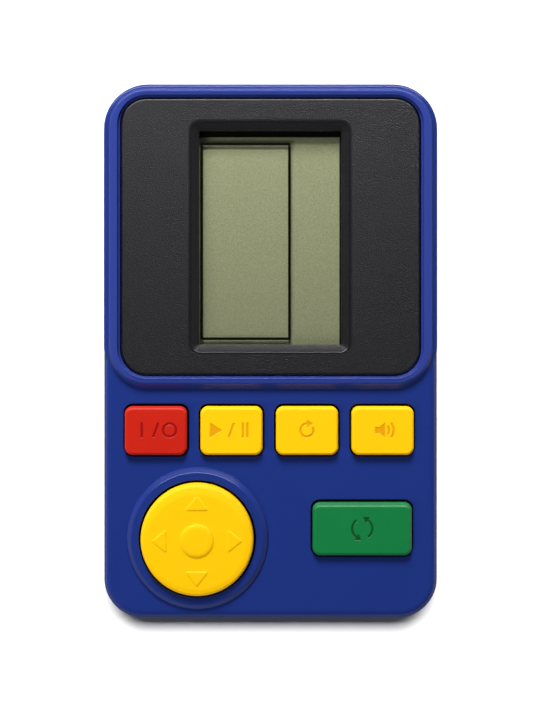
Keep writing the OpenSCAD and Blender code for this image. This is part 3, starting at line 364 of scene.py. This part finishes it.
def keySize(name):  # width and length of a cap without its flange
    lo, hi = nodeBox(name)
    return (hi - lo)[:2] - 2 * (keyCap["gap"] + keyCap["flange"])


def frontShell():
    s = shell
    halfW, halfL = nodeBox("front_shell")[1][:2]
    rTop, rBottom, edge = s["cornerTop"], s["cornerBottom"], s["edgeRound"]
    wallTop = s["faceZ"] - edge
    screenY = (halfL + s["rimFoot"]) / 2
    rimL = halfL - s["rimFoot"]
    upper, n = 2 * len(quarter), s["footSteps"]  # points on the two upper corners, and on the frame's feet
    leave = np.arccos(1 - edge / rTop)  # where the frame's corner has left the side by the edge rounding
    lowerLeft = np.pi + np.concatenate([np.linspace(0, leave, n), np.linspace(leave, np.pi / 2, n)[1:]])
    rimArcs = [quarter, quarter + np.pi / 2, lowerLeft, 3 * np.pi - lowerLeft[::-1]]

    # body outline as points and inward directions: offset loop = point + inset * direction
    sideY = np.append(s["rimFoot"] + rTop + rTop * np.sin(lowerLeft[:n]), s["rimFoot"])
    zeros, ones = np.zeros_like(sideY), np.ones_like(sideY)
    outline, inward = [], []
    for cx, cy, r, turn in ((1, 1, rTop, 0), (-1, 1, rTop, 1), (-1, -1, rBottom, 2), (1, -1, rBottom, 3)):
        a = quarter + turn * np.pi / 2
        out = np.stack([np.cos(a), np.sin(a)], -1)
        outline.append(np.array([cx * (halfW - r), cy * (halfL - r)]) + r * out)
        inward.append(-out)
        if turn == 1:
            outline.append(np.stack([zeros - halfW, sideY], -1))
            inward.append(np.stack([ones, zeros], -1))
    outline.append(np.stack([zeros + halfW, sideY], -1)[::-1])
    inward.append(np.stack([-ones, zeros], -1))
    outline, inward = np.concatenate(outline), np.concatenate(inward)
    d, z = roundedLine(
        [(s["wall"], s["shelfZ"]), (s["wall"], s["grooveTop"]), (s["grooveW"], s["grooveTop"]),
         (s["grooveW"], s["seamZ"]), (0, s["seamZ"]), (0, wallTop)],
        [s["innerRound"]] * 3 + [s["seamRound"]], steps=4).T[..., None]
    wall = lifted(outline + d[..., None] * inward, z)

    # edge rounding below the frame, ending on the frame's foot where that runs over it
    samples = len(outline) - upper
    reach = np.full(samples, edge)
    reach[:n] = rTop + rTop * np.cos(lowerLeft[:n])
    reach[-n:] = reach[:n][::-1]
    sweep = np.linspace(0, 1, s["edgeSteps"])[:, None] * np.arccos(1 - reach / edge)
    plan = outline[upper:] + (edge - edge * np.cos(sweep))[..., None] * inward[upper:]
    rounding = lifted(plan, wallTop + edge * np.sin(sweep))

    # raised frame: rounded edge, slope a little in from it, ridge, flat top, recess wall with a narrow ledge.
    # The lower end has its own insets, and stands on the body: z = wallTop + sqrt(e^2 - (e - inset)^2)
    d, z = roundedLine(
        [(0, wallTop), (0, s["faceZ"]), (s["rimIn"], s["faceZ"]), (s["slopeW"], s["rimTop"]),
         (s["slopeW"] + s["flatEdge"], s["rimTop"])],
        [s["rimRound"], s["footRound"], s["ridgeRound"]], steps=8).T
    lowerIn = np.interp(d, [0, s["rimIn"], s["slopeW"]], [0, s["rimLowIn"], s["slopeW"]])
    low = np.where(d < s["slopeW"], lowerIn, d)
    rim = roundRects(2 * halfW - 2 * d, rimL - d - low, rTop - d, z,
                     (0, screenY + (low - d)[:, None] / 2), rimArcs)
    inset = np.clip(halfW - np.abs(rim[..., 0]), 0, edge)
    ground = wallTop + np.sqrt(edge ** 2 - (edge - inset) ** 2)
    rim[..., 2] = np.where(rim[..., 1] > screenY, rim[..., 2], np.maximum(rim[..., 2], ground))
    d, z = roundedLine(
        [(-s["recessLip"], s["rimTop"]), (0, s["rimTop"]), (s["draft"], s["ledgeZ"]),
         (s["ledgeEnd"], s["ledgeZ"]), (s["ledgeEnd"], s["recessZ"])],
        [s["recessRound"], s["innerRound"], s["ledgeRound"]], steps=5).T
    recess = roundRects(s["recessW"] - 2 * d, s["recessL"] - 2 * d, s["recessR"] - d, z,
                        (0, screenY), rimArcs)
    frameRings = np.concatenate([rim, recess])

    # display opening in the recess floor
    glassLo, glassHi = nodeBox("lcd_front_glass")
    (x0, y0), (x1, y1) = glassLo[:2] - s["glassGap"], glassHi[:2] + s["glassGap"]
    loop = np.array([[x1, y1], [x0, y1], [x0, y0], [x1, y0]])
    opening = lifted(np.stack([loop, loop]), np.array([[s["recessZ"]], [s["shelfZ"]]]))

    # key holes and the pad's ring; the first point of the holes' line only gives it a direction
    d, z = roundedLine([(-1, s["faceZ"]), (0, s["faceZ"]), (0, s["roofZ"])], [s["holeRound"]])[1:].T
    holes = {}
    for name in keyCap["slope"]:
        w, l = keySize(name) + 2 * keyCap["gap"]
        r = keyCap["corner"] + keyCap["gap"] - d
        holes[name] = roundRects(w - 2 * d, l - 2 * d, r, z, nodeMiddle(name))
    ringLine = roundedLine(
        [(s["ringFoot"], s["faceZ"]), s["ringKnee"], (s["ringRidge"], s["ringTop"]),
         (s["ringHole"], s["ringTop"]), (s["ringHole"], s["roofZ"])],
        [s["ringKneeRound"], s["ringRound"], s["recessRound"]])
    holes["direction_pad"] = turned(ringLine, padMiddle, fine["large"])

    # key field between the edge rounding and the frame's foot
    footLoop = rim[0, upper + n:upper + 2 * len(lowerLeft) - n][::-1]
    field = np.concatenate([rounding[-1, n - 1:samples - n + 1], footLoop])

    # inside of the shell: ceilings on two levels and the step between them
    inner = wall[0]
    stepLeft, stepRight = upper + n, len(outline) - n - 1
    upperInner = np.concatenate([inner[stepRight:], inner[:stepLeft + 1]])
    lowerInner = inner[stepLeft:stepRight + 1]
    roof = lowerInner + [0, 0, s["roofZ"] - s["shelfZ"]]
    patches = {
        "wall": skin(wall), "rounding": skin(rounding, False),
        "frame": skin(frameRings), "opening": skin(opening),
        "recessFloor": levelFace([frameRings[-1], opening[0]]),
        "field": levelFace([field] + [hole[0] for hole in holes.values()]),
        "shelf": levelFace([upperInner, opening[1]], -1),
        "roof": levelFace([roof] + [hole[-1] for hole in holes.values()], -1),
        "step": skin(np.stack([roof, lowerInner])),
    }
    patches.update((name, skin(hole)) for name, hole in holes.items())

    # screw posts inside: hollow pillars that hang from the ceiling
    for node in ("case_screws", "board_screws"):
        lo, hi = nodeBox(node)
        headR, postR, pilotR, zLow = s[node]
        for x in (lo[0] + headR, hi[0] - headR):
            for y in (lo[1] + headR, hi[1] - headR):
                top = s["shelfZ"] if y > s["rimFoot"] else s["roofZ"]
                post = [(pilotR, top), (pilotR, zLow), (postR, zLow), (postR, top), (pilotR, top)]
                patches[node, x, y] = skin(turned(post, (x, y), fine["small"]))

    # painted shade low in the holes, and painted light on the frame's top that fades out towards its lower
    # end
    paintedGapShade = {name: np.zeros(p.size // 3) for name, (p, f) in patches.items()}
    raised = dict(paintedGapShade)
    for name, hole in holes.items():
        paintedGapShade[name] = np.clip((s["faceZ"] - s["shadeFrom"] - hole[..., 2]).ravel() / s["shadeH"], 0, 1)
    y, z = frameRings.reshape(-1, 3).T[1:]
    paintedFalloff = np.clip((y - s["rimFoot"]) / s["paintedLightFade"], 0, 1)
    raised["frame"] = np.clip((z - s["faceZ"]) / s["paintedLightH"], 0, 1) * paintedFalloff
    makePiece("frontShell", list(patches.values()), "console", "shell_blue", ["front_shell"],
              {"paintedGapShade": list(paintedGapShade.values()), "raised": list(raised.values())})


frontShell()


# Screen bezel: a panel with a rounded border and a sloping window, as one closed sweep

bezel = {
    "corner": 5.9, "edgeRound": 0.4, "edgeW": 1.2,
    "windowW": 35.3, "windowL": 51.4, "windowR": 2.0, "windowMove": (-0.1, -0.17), "innerR": 0.3,
    "lipW": 0.8, "lipRound": 0.22, "slopeW": 1.7, "slopeFoot": 21.6, "slopeRound": 0.12, "slopeGrain": 0.6,
}


def screenBezel():
    b = bezel
    lo, hi = nodeBox("screen_bezel")
    middle = nodeMiddle("screen_bezel")
    w, l = (hi - lo)[:2]
    edge, z = roundedLine([(0, lo[2]), (0, hi[2]), (b["edgeW"], hi[2])], [b["edgeRound"]], steps=8).T
    border = roundRects(w - 2 * edge, l - 2 * edge, b["corner"] - edge, z, middle)
    d, z = roundedLine(
        [(-b["lipW"], hi[2]), (0, hi[2]), (b["slopeW"], b["slopeFoot"]), (b["slopeW"], lo[2])],
        [b["lipRound"], b["slopeRound"]]).T
    r = b["windowR"] - np.minimum(d, 0) - (b["windowR"] - b["innerR"]) * np.clip(d, 0, None) / b["slopeW"]
    window = roundRects(b["windowW"] - 2 * d, b["windowL"] - 2 * d, r, z, middle + b["windowMove"])
    rings = np.concatenate([border, window, border[:1]])
    # the grain covers the flat, thins out on the window's slope and leaves the roundings smooth
    windowGrain = np.where(d > b["lipRound"], b["slopeGrain"], d < -b["lipRound"])
    grain = np.concatenate([edge >= b["edgeRound"], windowGrain, [True]])
    makePiece("screenBezel", [skin(rings)], "console", "bezel_charcoal", ["screen_bezel"],
              {"grain": [np.repeat(grain, rings.shape[1])]})


screenBezel()


# Display print and painted shade: the border line, and a black sheet between the plates (print at the right,
# painted shade at the top)

displayPrintAndShade = {
    "left": -15.9, "right": 4.58, "low": 2.5, "high": 47.1, "line": 0.62, "corner": 0.43, "thick": 0.02,
    "paintedShadeTop": 48.3, "maskRight": 15.56, "plateIn": 0.2,
}


def playfieldBorder():
    p = displayPrintAndShade
    lo, hi = nodeBox("lcd_front_glass")
    w, l = p["right"] - p["left"], p["high"] - p["low"]
    middle = ((p["right"] + p["left"]) / 2, (p["high"] + p["low"]) / 2)
    d = np.array([0, 0, p["line"], p["line"], 0])
    z = lo[2] + p["thick"] / 2 * np.array([-1, 1, 1, -1, -1])
    rings = roundRects(w - 2 * d, l - 2 * d, p["corner"] - d, z, middle)
    # black sheet along the top and right edges of the plates: printed border at the right, painted shade of
    # the window at the top
    (x0, y0), (x1, y1) = lo[:2] + p["plateIn"], hi[:2] - p["plateIn"]
    xIn, yIn = p["maskRight"], p["paintedShadeTop"]
    printAndShadeSheet = np.array([[x0, yIn], [xIn, yIn], [xIn, y0], [x1, y0], [x1, y1], [x0, y1]])
    printAndShadeSheet = lifted(np.stack([printAndShadeSheet, printAndShadeSheet]), z[:2, None])
    sheet = [skin(printAndShadeSheet), levelFace([printAndShadeSheet[1]]), levelFace([printAndShadeSheet[0]], -1)]
    piece = makePiece("displayPrintAndShade", [skin(rings)] + sheet, "console", "tape_black", [])
    # liquid crystal that is switched on, printed ink, and the sheet of painted shade: dull black
    piece.data.materials[0] = solidFinish("darkPrintAndShade", dict(
        colour="#060605", shade="#080807", rough=0.8, grit=0.2, blotch=1, relief=0.001, ior=1.02))


playfieldBorder()


# Key caps: a rounded sweep, with a fine level grid on top that carries the engraved pictogram.
# Every mark is a signed distance in mm, negative inside

mark = {
    "height": 3.4, "stroke": 0.5, "pitch": 3.1, "lean": 20, "headShare": 0.8,
    "resetArc": (148, 238),  # half its span and its middle, in degrees
    "boxAt": 0.35, "boxHalf": 0.15, "neck": 1 / 5, "horn": 1 / 6, "waves": (0.5, 0.8),  # shares of the height
    "waveDeg": 40, "rotateHeight": 5.0, "rotateHead": 1 / 3, "turnDeg": 55,
}


# the larger of |across| - stroke / 2 and |along| - h / 2
def bar(x, y, h, lean=0):
    c, s = np.cos(np.radians(lean)), np.sin(np.radians(lean))
    return np.maximum(np.abs(x * c - y * s) - mark["stroke"] / 2, np.abs(x * s + y * c) - h / 2)


# |distance from the middle of the stroke| - stroke / 2
def ring(x, y, r):
    return np.abs(np.hypot(x, y) - r + mark["stroke"] / 2) - mark["stroke"] / 2


# part of a ring about a direction: the larger of the ring and the turn past its end times r
def arc(x, y, r, halfDeg, middleDeg=0):
    off = np.abs((np.degrees(np.arctan2(y, x)) - middleDeg + 180) % 360 - 180) - halfDeg
    return np.maximum(ring(x, y, r), np.radians(off) * r)


# convex outline, its points counter-clockwise: the largest distance to its sides
def corners(x, y, points):
    p = np.asarray(points, float)
    q = np.roll(p, -1, axis=0) - p
    out = np.stack([q[:, 1], -q[:, 0]], -1) / np.linalg.norm(q, axis=1)[:, None]
    return np.max([(x - a) * u + (y - b) * v for (a, b), (u, v) in zip(p, out)], axis=0)


# arrow head: a triangle whose back stands at a place, turned by deg
def head(x, y, h, at=(0, 0), deg=0):
    c, s = np.cos(np.radians(deg)), np.sin(np.radians(deg))
    u, v = (x - at[0]) * c + (y - at[1]) * s, (y - at[1]) * c - (x - at[0]) * s
    return corners(u, v, [(0, -h / 2), (h * mark["headShare"], 0), (0, h / 2)])


def powerMark(x, y):  # on and off: a bar and a ring with a leaning bar between
    h, p = mark["height"], mark["pitch"]
    return np.min([bar(x + p, y, h), bar(x, y, h, mark["lean"]), ring(x - p, y, h / 2)], axis=0)


def startMark(x, y):  # start and pause: an arrow head and two bars with a leaning bar between
    h, p, k = mark["height"], mark["pitch"], mark["stroke"]
    return np.min([head(x, y, h, (-p - h / 2, 0)), bar(x, y, h, mark["lean"]),
                   bar(x - p - k, y, h), bar(x - p + k, y, h)], axis=0)


def resetMark(x, y):  # most of a ring with an arrow head
    h, k = mark["height"], mark["stroke"]
    return np.minimum(arc(x, y, h / 2, *mark["resetArc"]), head(x, y, h / 2, (0, h / 2 - k / 2)))


def soundMark(x, y):  # a loudspeaker, as a box and a horn, with two waves
    h = mark["height"]
    neck, horn = h * mark["neck"], h * mark["horn"]
    box = np.maximum(np.abs(x + h * mark["boxAt"]) - h * mark["boxHalf"], np.abs(y) - neck)
    cone = corners(x, y, [(-neck, -neck), (horn, -h / 2), (horn, h / 2), (-neck, neck)])
    waves = [arc(x, y, h * share, mark["waveDeg"]) for share in mark["waves"]]
    return np.min([box, cone] + waves, axis=0)


def rotateMark(x, y):  # two arcs, each with an arrow head
    h, deg, k = mark["rotateHeight"], mark["turnDeg"], mark["stroke"]
    shapes = []
    for turn in (0, 180):
        a = np.radians(deg + turn)
        at = (h / 2 - k / 2) * np.array([np.cos(a), np.sin(a)])
        shapes += [arc(x, y, h / 2, deg, turn), head(x, y, h * mark["rotateHead"], at, 90 + deg + turn)]
    return np.min(shapes, axis=0)


def keyPiece(name, drawMark, slot, body):
    k = keyCap
    w, l = keySize(name)
    middle = nodeMiddle(name)
    top = nodeBox(name)[1][2]
    bottom, shoulder = k["flangeZ"]
    slopeW = k["slope"][name]
    slopeH = slopeW * np.tan(np.radians(k["slopeDeg"]))
    out = k["gap"] + k["flange"]
    d, z = roundedLine(
        [(-out, bottom), (-out, shoulder), (0, shoulder),
         (0, top - slopeH), (slopeW, top), (k["margin"], top)],
        [k["flangeRound"], k["flangeRound"], k["slopeFootRound"], k["ridgeRound"]], steps=10).T[..., None]
    # the upper edge slopes more than the others: inset and drop are share(a) times the profile's,
    # share = low + (1 - low) * max(sin a, 0), where a is the outline's outward direction
    a = np.concatenate(plainArcs)
    share = k["lowShare"] + (1 - k["lowShare"]) * np.clip(np.sin(a), 0, 1)
    inset = np.where(d > 0, d * share, d)
    outline = roundRects(w, l - k["upperGap"], k["corner"], [top], middle - [0, k["upperGap"] / 2])
    cap = outline - inset[..., None] * np.stack([np.cos(a), np.sin(a), 0 * a], -1)
    cap[..., 2] = np.where(z < shoulder + 2 * k["flangeRound"], z, top - (top - z) * share)
    # engraved grid: z = top - depth * smooth step of the distance to the mark
    gridW, gridL = w - 2 * k["margin"] - 2 * k["gridIn"], l - 2 * k["margin"] - 2 * k["gridIn"]
    x = np.linspace(-gridW / 2, gridW / 2, int(gridW / k["gridStep"]))
    y = np.linspace(-gridL / 2, gridL / 2, int(gridL / k["gridStep"]))
    gx, gy = np.meshgrid(x, y)
    t = np.clip(0.5 - drawMark(gx, gy) / k["soft"], 0, 1)
    depth = t * t * (3 - 2 * t)
    grid = np.stack([gx + middle[0], gy + middle[1], top - k["markDepth"] * depth], -1)
    border = np.concatenate([grid[0, :-1], grid[:-1, -1], grid[-1, :0:-1], grid[:0:-1, 0]])
    plungerR, plungerZ = k["plunger"]
    plunger = turned([(0, plungerZ), (plungerR, plungerZ), (plungerR, bottom)], middle, fine["small"])
    patches = {
        "cap": skin(cap), "top": levelFace([cap[-1], border]), "grid": skin(grid, False),
        "underside": levelFace([cap[0], plunger[-1]], -1), "plunger": skin(plunger),
    }
    engrave = {part: np.zeros(p.size // 3) for part, (p, f) in patches.items()}
    engrave["grid"] = depth.ravel()
    # painted shade on the cap's walls low in the gap
    paintedGapShade = gapShade(patches.values(), shell["faceZ"] + k["shadeRise"])
    makePiece(name.replace("_key", "Key"), list(patches.values()), body, slot, [name],
              {"engrave": list(engrave.values()), "paintedGapShade": paintedGapShade})


keyPiece("power_key", powerMark, "key_red", "power")
keyPiece("start_key", startMark, "pad_yellow", "start")
keyPiece("reset_key", resetMark, "pad_yellow", "reset")
keyPiece("sound_key", soundMark, "pad_yellow", "sound")
keyPiece("rotate_key", rotateMark, "key_green", "rotate")


# Direction pad: a turned disc with a domed middle and four raised arrows

pad = {
    "flangeR": 13.7, "flangeZ": (17.7, 18.5), "flangeRound": 0.1,
    "ballGap": 0.06, "socketSteps": 12, "stemHole": 2.35,
    "radius": 12.6, "edgeRound": 1.45, "shoulderW": 2.6, "shoulderDrop": 0.38, "shoulderRound": 6.0,
    "flatEdge": 0.6, "lowShare": 0.56, "shadeRise": 0.2,
    "domeR": 3.75, "domeRoundW": 1.3, "domeH": 0.4, "domeFoot": 0.5, "domeToe": (0.08, 0.015),
    "domeFrom": 0.12, "domeSteps": 14,
    "faceMove": (0, -0.3), "arrowIn": 6.58, "arrowL": 3.86, "arrowW": 6.25, "arrowH": 0.17,
    "arrowCorner": 0.52, "cornerSteps": 7, "arrowSlope": 0.5, "slopeSteps": 9,
}


def directionPad():
    p = pad
    low, shoulder = p["flangeZ"]
    top = nodeBox("direction_pad")[1][2] - p["domeH"]
    flat = p["radius"] - p["shoulderW"]
    # underside: a half ball socket (R sin t, pivot + R cos t) over the hole for the stem
    ballLow, ballHigh = (corner[2] for corner in nodeBox("pivot_ball"))
    pivot, socketR = (ballHigh + ballLow) / 2, (ballHigh - ballLow) / 2 + p["ballGap"]
    t = np.linspace(0, np.pi / 2, p["socketSteps"])
    socket = np.stack([socketR * np.sin(t), pivot + socketR * np.cos(t)], -1)
    rim = roundedLine(
        [(p["stemHole"], pivot), (p["stemHole"], low), (p["flangeR"], low), (p["flangeR"], shoulder),
         (p["radius"], shoulder), (p["radius"], top - p["shoulderDrop"]), (flat, top),
         (flat - p["flatEdge"], top)],
        [p["flangeRound"]] * 4 + [p["edgeRound"], p["shoulderRound"]], steps=10)
    # the upper edge is rounded more than the others, as on the keys: share = low + (1 - low) * max(sin a, 0)
    r, z = np.concatenate([socket, rim]).T[..., None]
    a = np.linspace(0, 2 * np.pi, fine["large"], endpoint=False)
    share = p["lowShare"] + (1 - p["lowShare"]) * np.clip(np.sin(a), 0, 1)
    edge = (z > shoulder + 2 * p["flangeRound"]) & (r > p["domeR"])
    r = np.where(edge, p["radius"] - (p["radius"] - r) * share, r)
    z = np.where(edge, top - (top - z) * share, z)
    disc = np.stack([padMiddle[0] + r * np.cos(a), padMiddle[1] + r * np.sin(a), z], -1)
    # dome: a hollow foot, then a quarter ellipse (R - w + w cos t, h sin t)
    t = np.linspace(p["domeFrom"], np.pi / 2, p["domeSteps"])
    roundW, h = p["domeRoundW"], p["domeH"]
    ellipse = np.stack([p["domeR"] - roundW + roundW * np.cos(t), top + h * np.sin(t)], -1)
    toeOut, toeUp = p["domeToe"]
    foot = [(p["domeR"] + p["domeFoot"], top), (p["domeR"] + toeOut, top + toeUp)]
    dome = turned(np.concatenate([foot, ellipse, [(0, top + h)]]), padMiddle + p["faceMove"])
    # arrow: rings of a triangle with round corners, one for each step of its edge
    triangle = np.array([[p["arrowL"], 0], [0, p["arrowW"] / 2], [0, -p["arrowW"] / 2]])
    side = np.roll(triangle, -1, axis=0) - triangle
    normal = np.stack([side[:, 1], -side[:, 0]], -1) / np.linalg.norm(side, axis=1)[:, None]
    ahead = np.arctan2(normal[:, 1], normal[:, 0])
    behind = np.roll(ahead, 1)
    spread = (ahead - behind) % (2 * np.pi)
    bisector = behind + spread / 2
    pull = (p["arrowCorner"] / np.cos(spread / 2))[:, None]
    hub = triangle - pull * np.stack([np.cos(bisector), np.sin(bisector)], -1)
    hub = np.repeat(hub, p["cornerSteps"], axis=0)
    a = (behind[:, None] + spread[:, None] * np.linspace(0, 1, p["cornerSteps"])).ravel()
    out = np.stack([np.cos(a), np.sin(a)], -1)
    t = np.linspace(0, 1, p["slopeSteps"])[:, None]
    z = top + p["arrowH"] * (3 - 2 * t) * t ** 2  # a soft step up, 3 t^2 - 2 t^3
    plan = hub + (p["arrowCorner"] - p["arrowSlope"] * t)[..., None] * out + [p["arrowIn"], 0]
    arrows = []
    for turn in range(4):
        c, s = np.cos(turn * np.pi / 2), np.sin(turn * np.pi / 2)
        arrows.append(lifted(plan @ np.array([[c, s], [-s, c]]) + padMiddle + p["faceMove"], z))
    patches = [skin(disc), skin(dome), levelFace([disc[-1], dome[0]] + [arrow[0] for arrow in arrows])]
    patches += [skin(arrow) for arrow in arrows] + [levelFace([arrow[-1]]) for arrow in arrows]
    # painted shade on the pad's sides low in the ring's hole
    makePiece("directionPad", patches, "pad", "pad_yellow", ["direction_pad"],
              {"paintedGapShade": gapShade(patches, shell["ringTop"] + p["shadeRise"])})


directionPad()


# CAD nodes that stay: each takes its slot's finish, and the hard mouldings get softened edges

soften = {
    "back_shell": 0.25, "battery_door": 0.2, "lcd_holder": 0.15, "case_screws": 0.12, "board_screws": 0.1,
}
edges = {"weld": 0.001, "flatDeg": 0.3, "sharpDeg": 40, "segments": 2}
for row in frame["record"]["subparts"]:
    obj = frame["nodes"][row["node"]]
    obj.data.materials.clear()
    obj.data.materials.append(finish[row["material_slot"]])
for name, width in soften.items():
    obj = frame["nodes"][name]
    merge = obj.modifiers.new("merge", "WELD")
    merge.merge_threshold = edges["weld"] * mm
    flatten = obj.modifiers.new("flatten", "DECIMATE")
    flatten.decimate_type = "DISSOLVE"
    flatten.angle_limit = np.radians(edges["flatDeg"])
    rounder = obj.modifiers.new("round", "BEVEL")
    rounder.width = width * mm
    rounder.segments = edges["segments"]
    rounder.limit_method = "ANGLE"
    rounder.angle_limit = np.radians(edges["sharpDeg"])
    even = obj.modifiers.new("evenShading", "WEIGHTED_NORMAL")
    even.keep_sharp = True


# Stage: pale floor, soft light from the screen end, camera straight above

stage = {
    "floorHalf": 130, "farHalf": 1500, "cameraHeight": 342, "cameraAt": (-0.13, -1.99), "lens": 71.3,
    "lamps": {
        "key": dict(at=(-40, 480, 350), size=(220, 200), watts=5.3, shine=False),
        "fill": dict(at=(-520, -450, 580), size=(420, 420), watts=3.2, shine=False),
        "strip": dict(at=(-40, 507, 364), size=(910, 104), watts=6.2, wash=False),
        "backdrop": dict(at=(0, 134, 620), size=(150, 106), watts=1.4, spread=65, only="floor"),
        "sweep": dict(at=(0, 1, 2500), size=(3000, 3000), watts=300, only="farFloor"),
    },
    "horizon": 0.2, "zenith": 0.08, "sideCard": 0.15, "sideFloor": 1.6, "frontCard": 0.18, "glowPower": 3.0,
}
# the floor is a square under the part and a frame of four sheets round it, each with a lamp of its own
square = np.array([[-1, -1, 0], [1, -1, 0], [1, 1, 0], [-1, 1, 0]]) * mm
near, far = square * stage["floorHalf"], square * stage["farHalf"]
floorShapes = {
    "floor": (near, [(0, 1, 2, 3)]),
    "farFloor": (np.concatenate([near, far]), [(4 + k, 4 + (k + 1) % 4, (k + 1) % 4, k) for k in range(4)]),
}
# matt paper: pale and even
paper = solidFinish("paperWhite", dict(
    colour="#c8c8c8", shade="#c5c5c5", rough=0.8, grit=1, blotch=200, relief=0.001))
floors = {}
for name, (points, faces) in floorShapes.items():
    mesh = bpy.data.meshes.new(name)
    mesh.from_pydata(points.tolist(), [], faces)
    mesh.materials.append(paper)
    floors[name] = bpy.data.objects.new(name, mesh)
    floors[name].visible_glossy = False  # the white sweep doesn't mirror in the edges
    bpy.context.scene.collection.objects.link(floors[name])

for name, spec in stage["lamps"].items():
    lamp = bpy.data.lights.new(name + "Light", "AREA")
    lamp.shape = "RECTANGLE"
    lamp.size, lamp.size_y = (v * mm for v in spec["size"])
    lamp.energy = spec["watts"]
    lamp.spread = np.radians(spec.get("spread", 180))
    lampObj = bpy.data.objects.new(name + "Light", lamp)
    lampObj.location = [v * mm for v in spec["at"]]
    lampObj.rotation_euler = (-lampObj.location).to_track_quat("-Z", "Y").to_euler()
    bpy.context.scene.collection.objects.link(lampObj)
    lit = bpy.data.collections.new(name + "Lit")  # one floor alone, or all but the floors
    for key in [spec["only"]] if "only" in spec else floors:
        lit.objects.link(floors[key])
    for row in lit.collection_objects:
        row.light_linking.link_state = "INCLUDE" if "only" in spec else "EXCLUDE"
    lampObj.light_linking.receiver_collection = lit
    lampObj.visible_glossy = spec.get("shine", True)  # seen in reflections
    lampObj.visible_diffuse = spec.get("wash", True)  # lights matt surfaces

# sky: dark overhead, bright at the horizon, with dim cards at both sides and in front:
# strength = zenith + (horizon + side * x^2 + front * (y < 0) y^2) * (1 - |z|)^power,
# where side is the card's brightness above the horizon and the white sweep's below it
scene = bpy.context.scene
scene.world = scene.world or bpy.data.worlds.new("sky")
scene.world.use_nodes = True
sky = scene.world
way = addNode(sky, "TexCoord").outputs["Generated"]
x, y, z = addNode(sky, "SeparateXYZ", links={0: way}).outputs
height = addNode(sky, "Math", links={0: z}, operation="ABSOLUTE").outputs[0]
low = addNode(sky, "Math", {0: 1.0}, {1: height}, operation="SUBTRACT", use_clamp=True).outputs[0]
glow = addNode(sky, "Math", {1: stage["glowPower"]}, {0: low}, operation="POWER").outputs[0]
below = addNode(sky, "Math", {1: 0.0}, {0: z}, operation="LESS_THAN").outputs[0]
side = addNode(sky, "MapRange", {"To Min": stage["sideCard"], "To Max": stage["sideFloor"]},
               {"Value": below}).outputs[0]
xSquare = addNode(sky, "Math", links={0: x, 1: x}, operation="MULTIPLY").outputs[0]
sides = addNode(sky, "Math", {2: stage["horizon"]}, {0: xSquare, 1: side},
                operation="MULTIPLY_ADD").outputs[0]
toward = addNode(sky, "Math", {1: -1.0}, {0: y}, operation="MULTIPLY", use_clamp=True).outputs[0]
ySquare = addNode(sky, "Math", links={0: toward, 1: toward}, operation="MULTIPLY").outputs[0]
around = addNode(sky, "Math", {1: stage["frontCard"]}, {0: ySquare, 2: sides},
                 operation="MULTIPLY_ADD").outputs[0]
level = addNode(sky, "Math", {2: stage["zenith"]}, {0: around, 1: glow}, operation="MULTIPLY_ADD").outputs[0]
sky.node_tree.links.new(level, sky.node_tree.nodes["Background"].inputs["Strength"])
sky.node_tree.nodes["Background"].inputs["Color"].default_value = (1, 1, 1, 1)
scene.view_settings.view_transform = "Standard"
scene.cycles.transparent_max_bounces = 24  # light passes the film and both plates of the display, in and out

camera = bpy.data.cameras.new("camera")
camera.sensor_fit = "VERTICAL"
camera.sensor_height = 36
camera.lens = stage["lens"]
camera.clip_start = 0.01
cameraObj = bpy.data.objects.new("camera", camera)
cameraObj.location = [v * mm for v in (*stage["cameraAt"], stage["cameraHeight"])]
scene.collection.objects.link(cameraObj)
scene.camera = cameraObj
print("stage set")
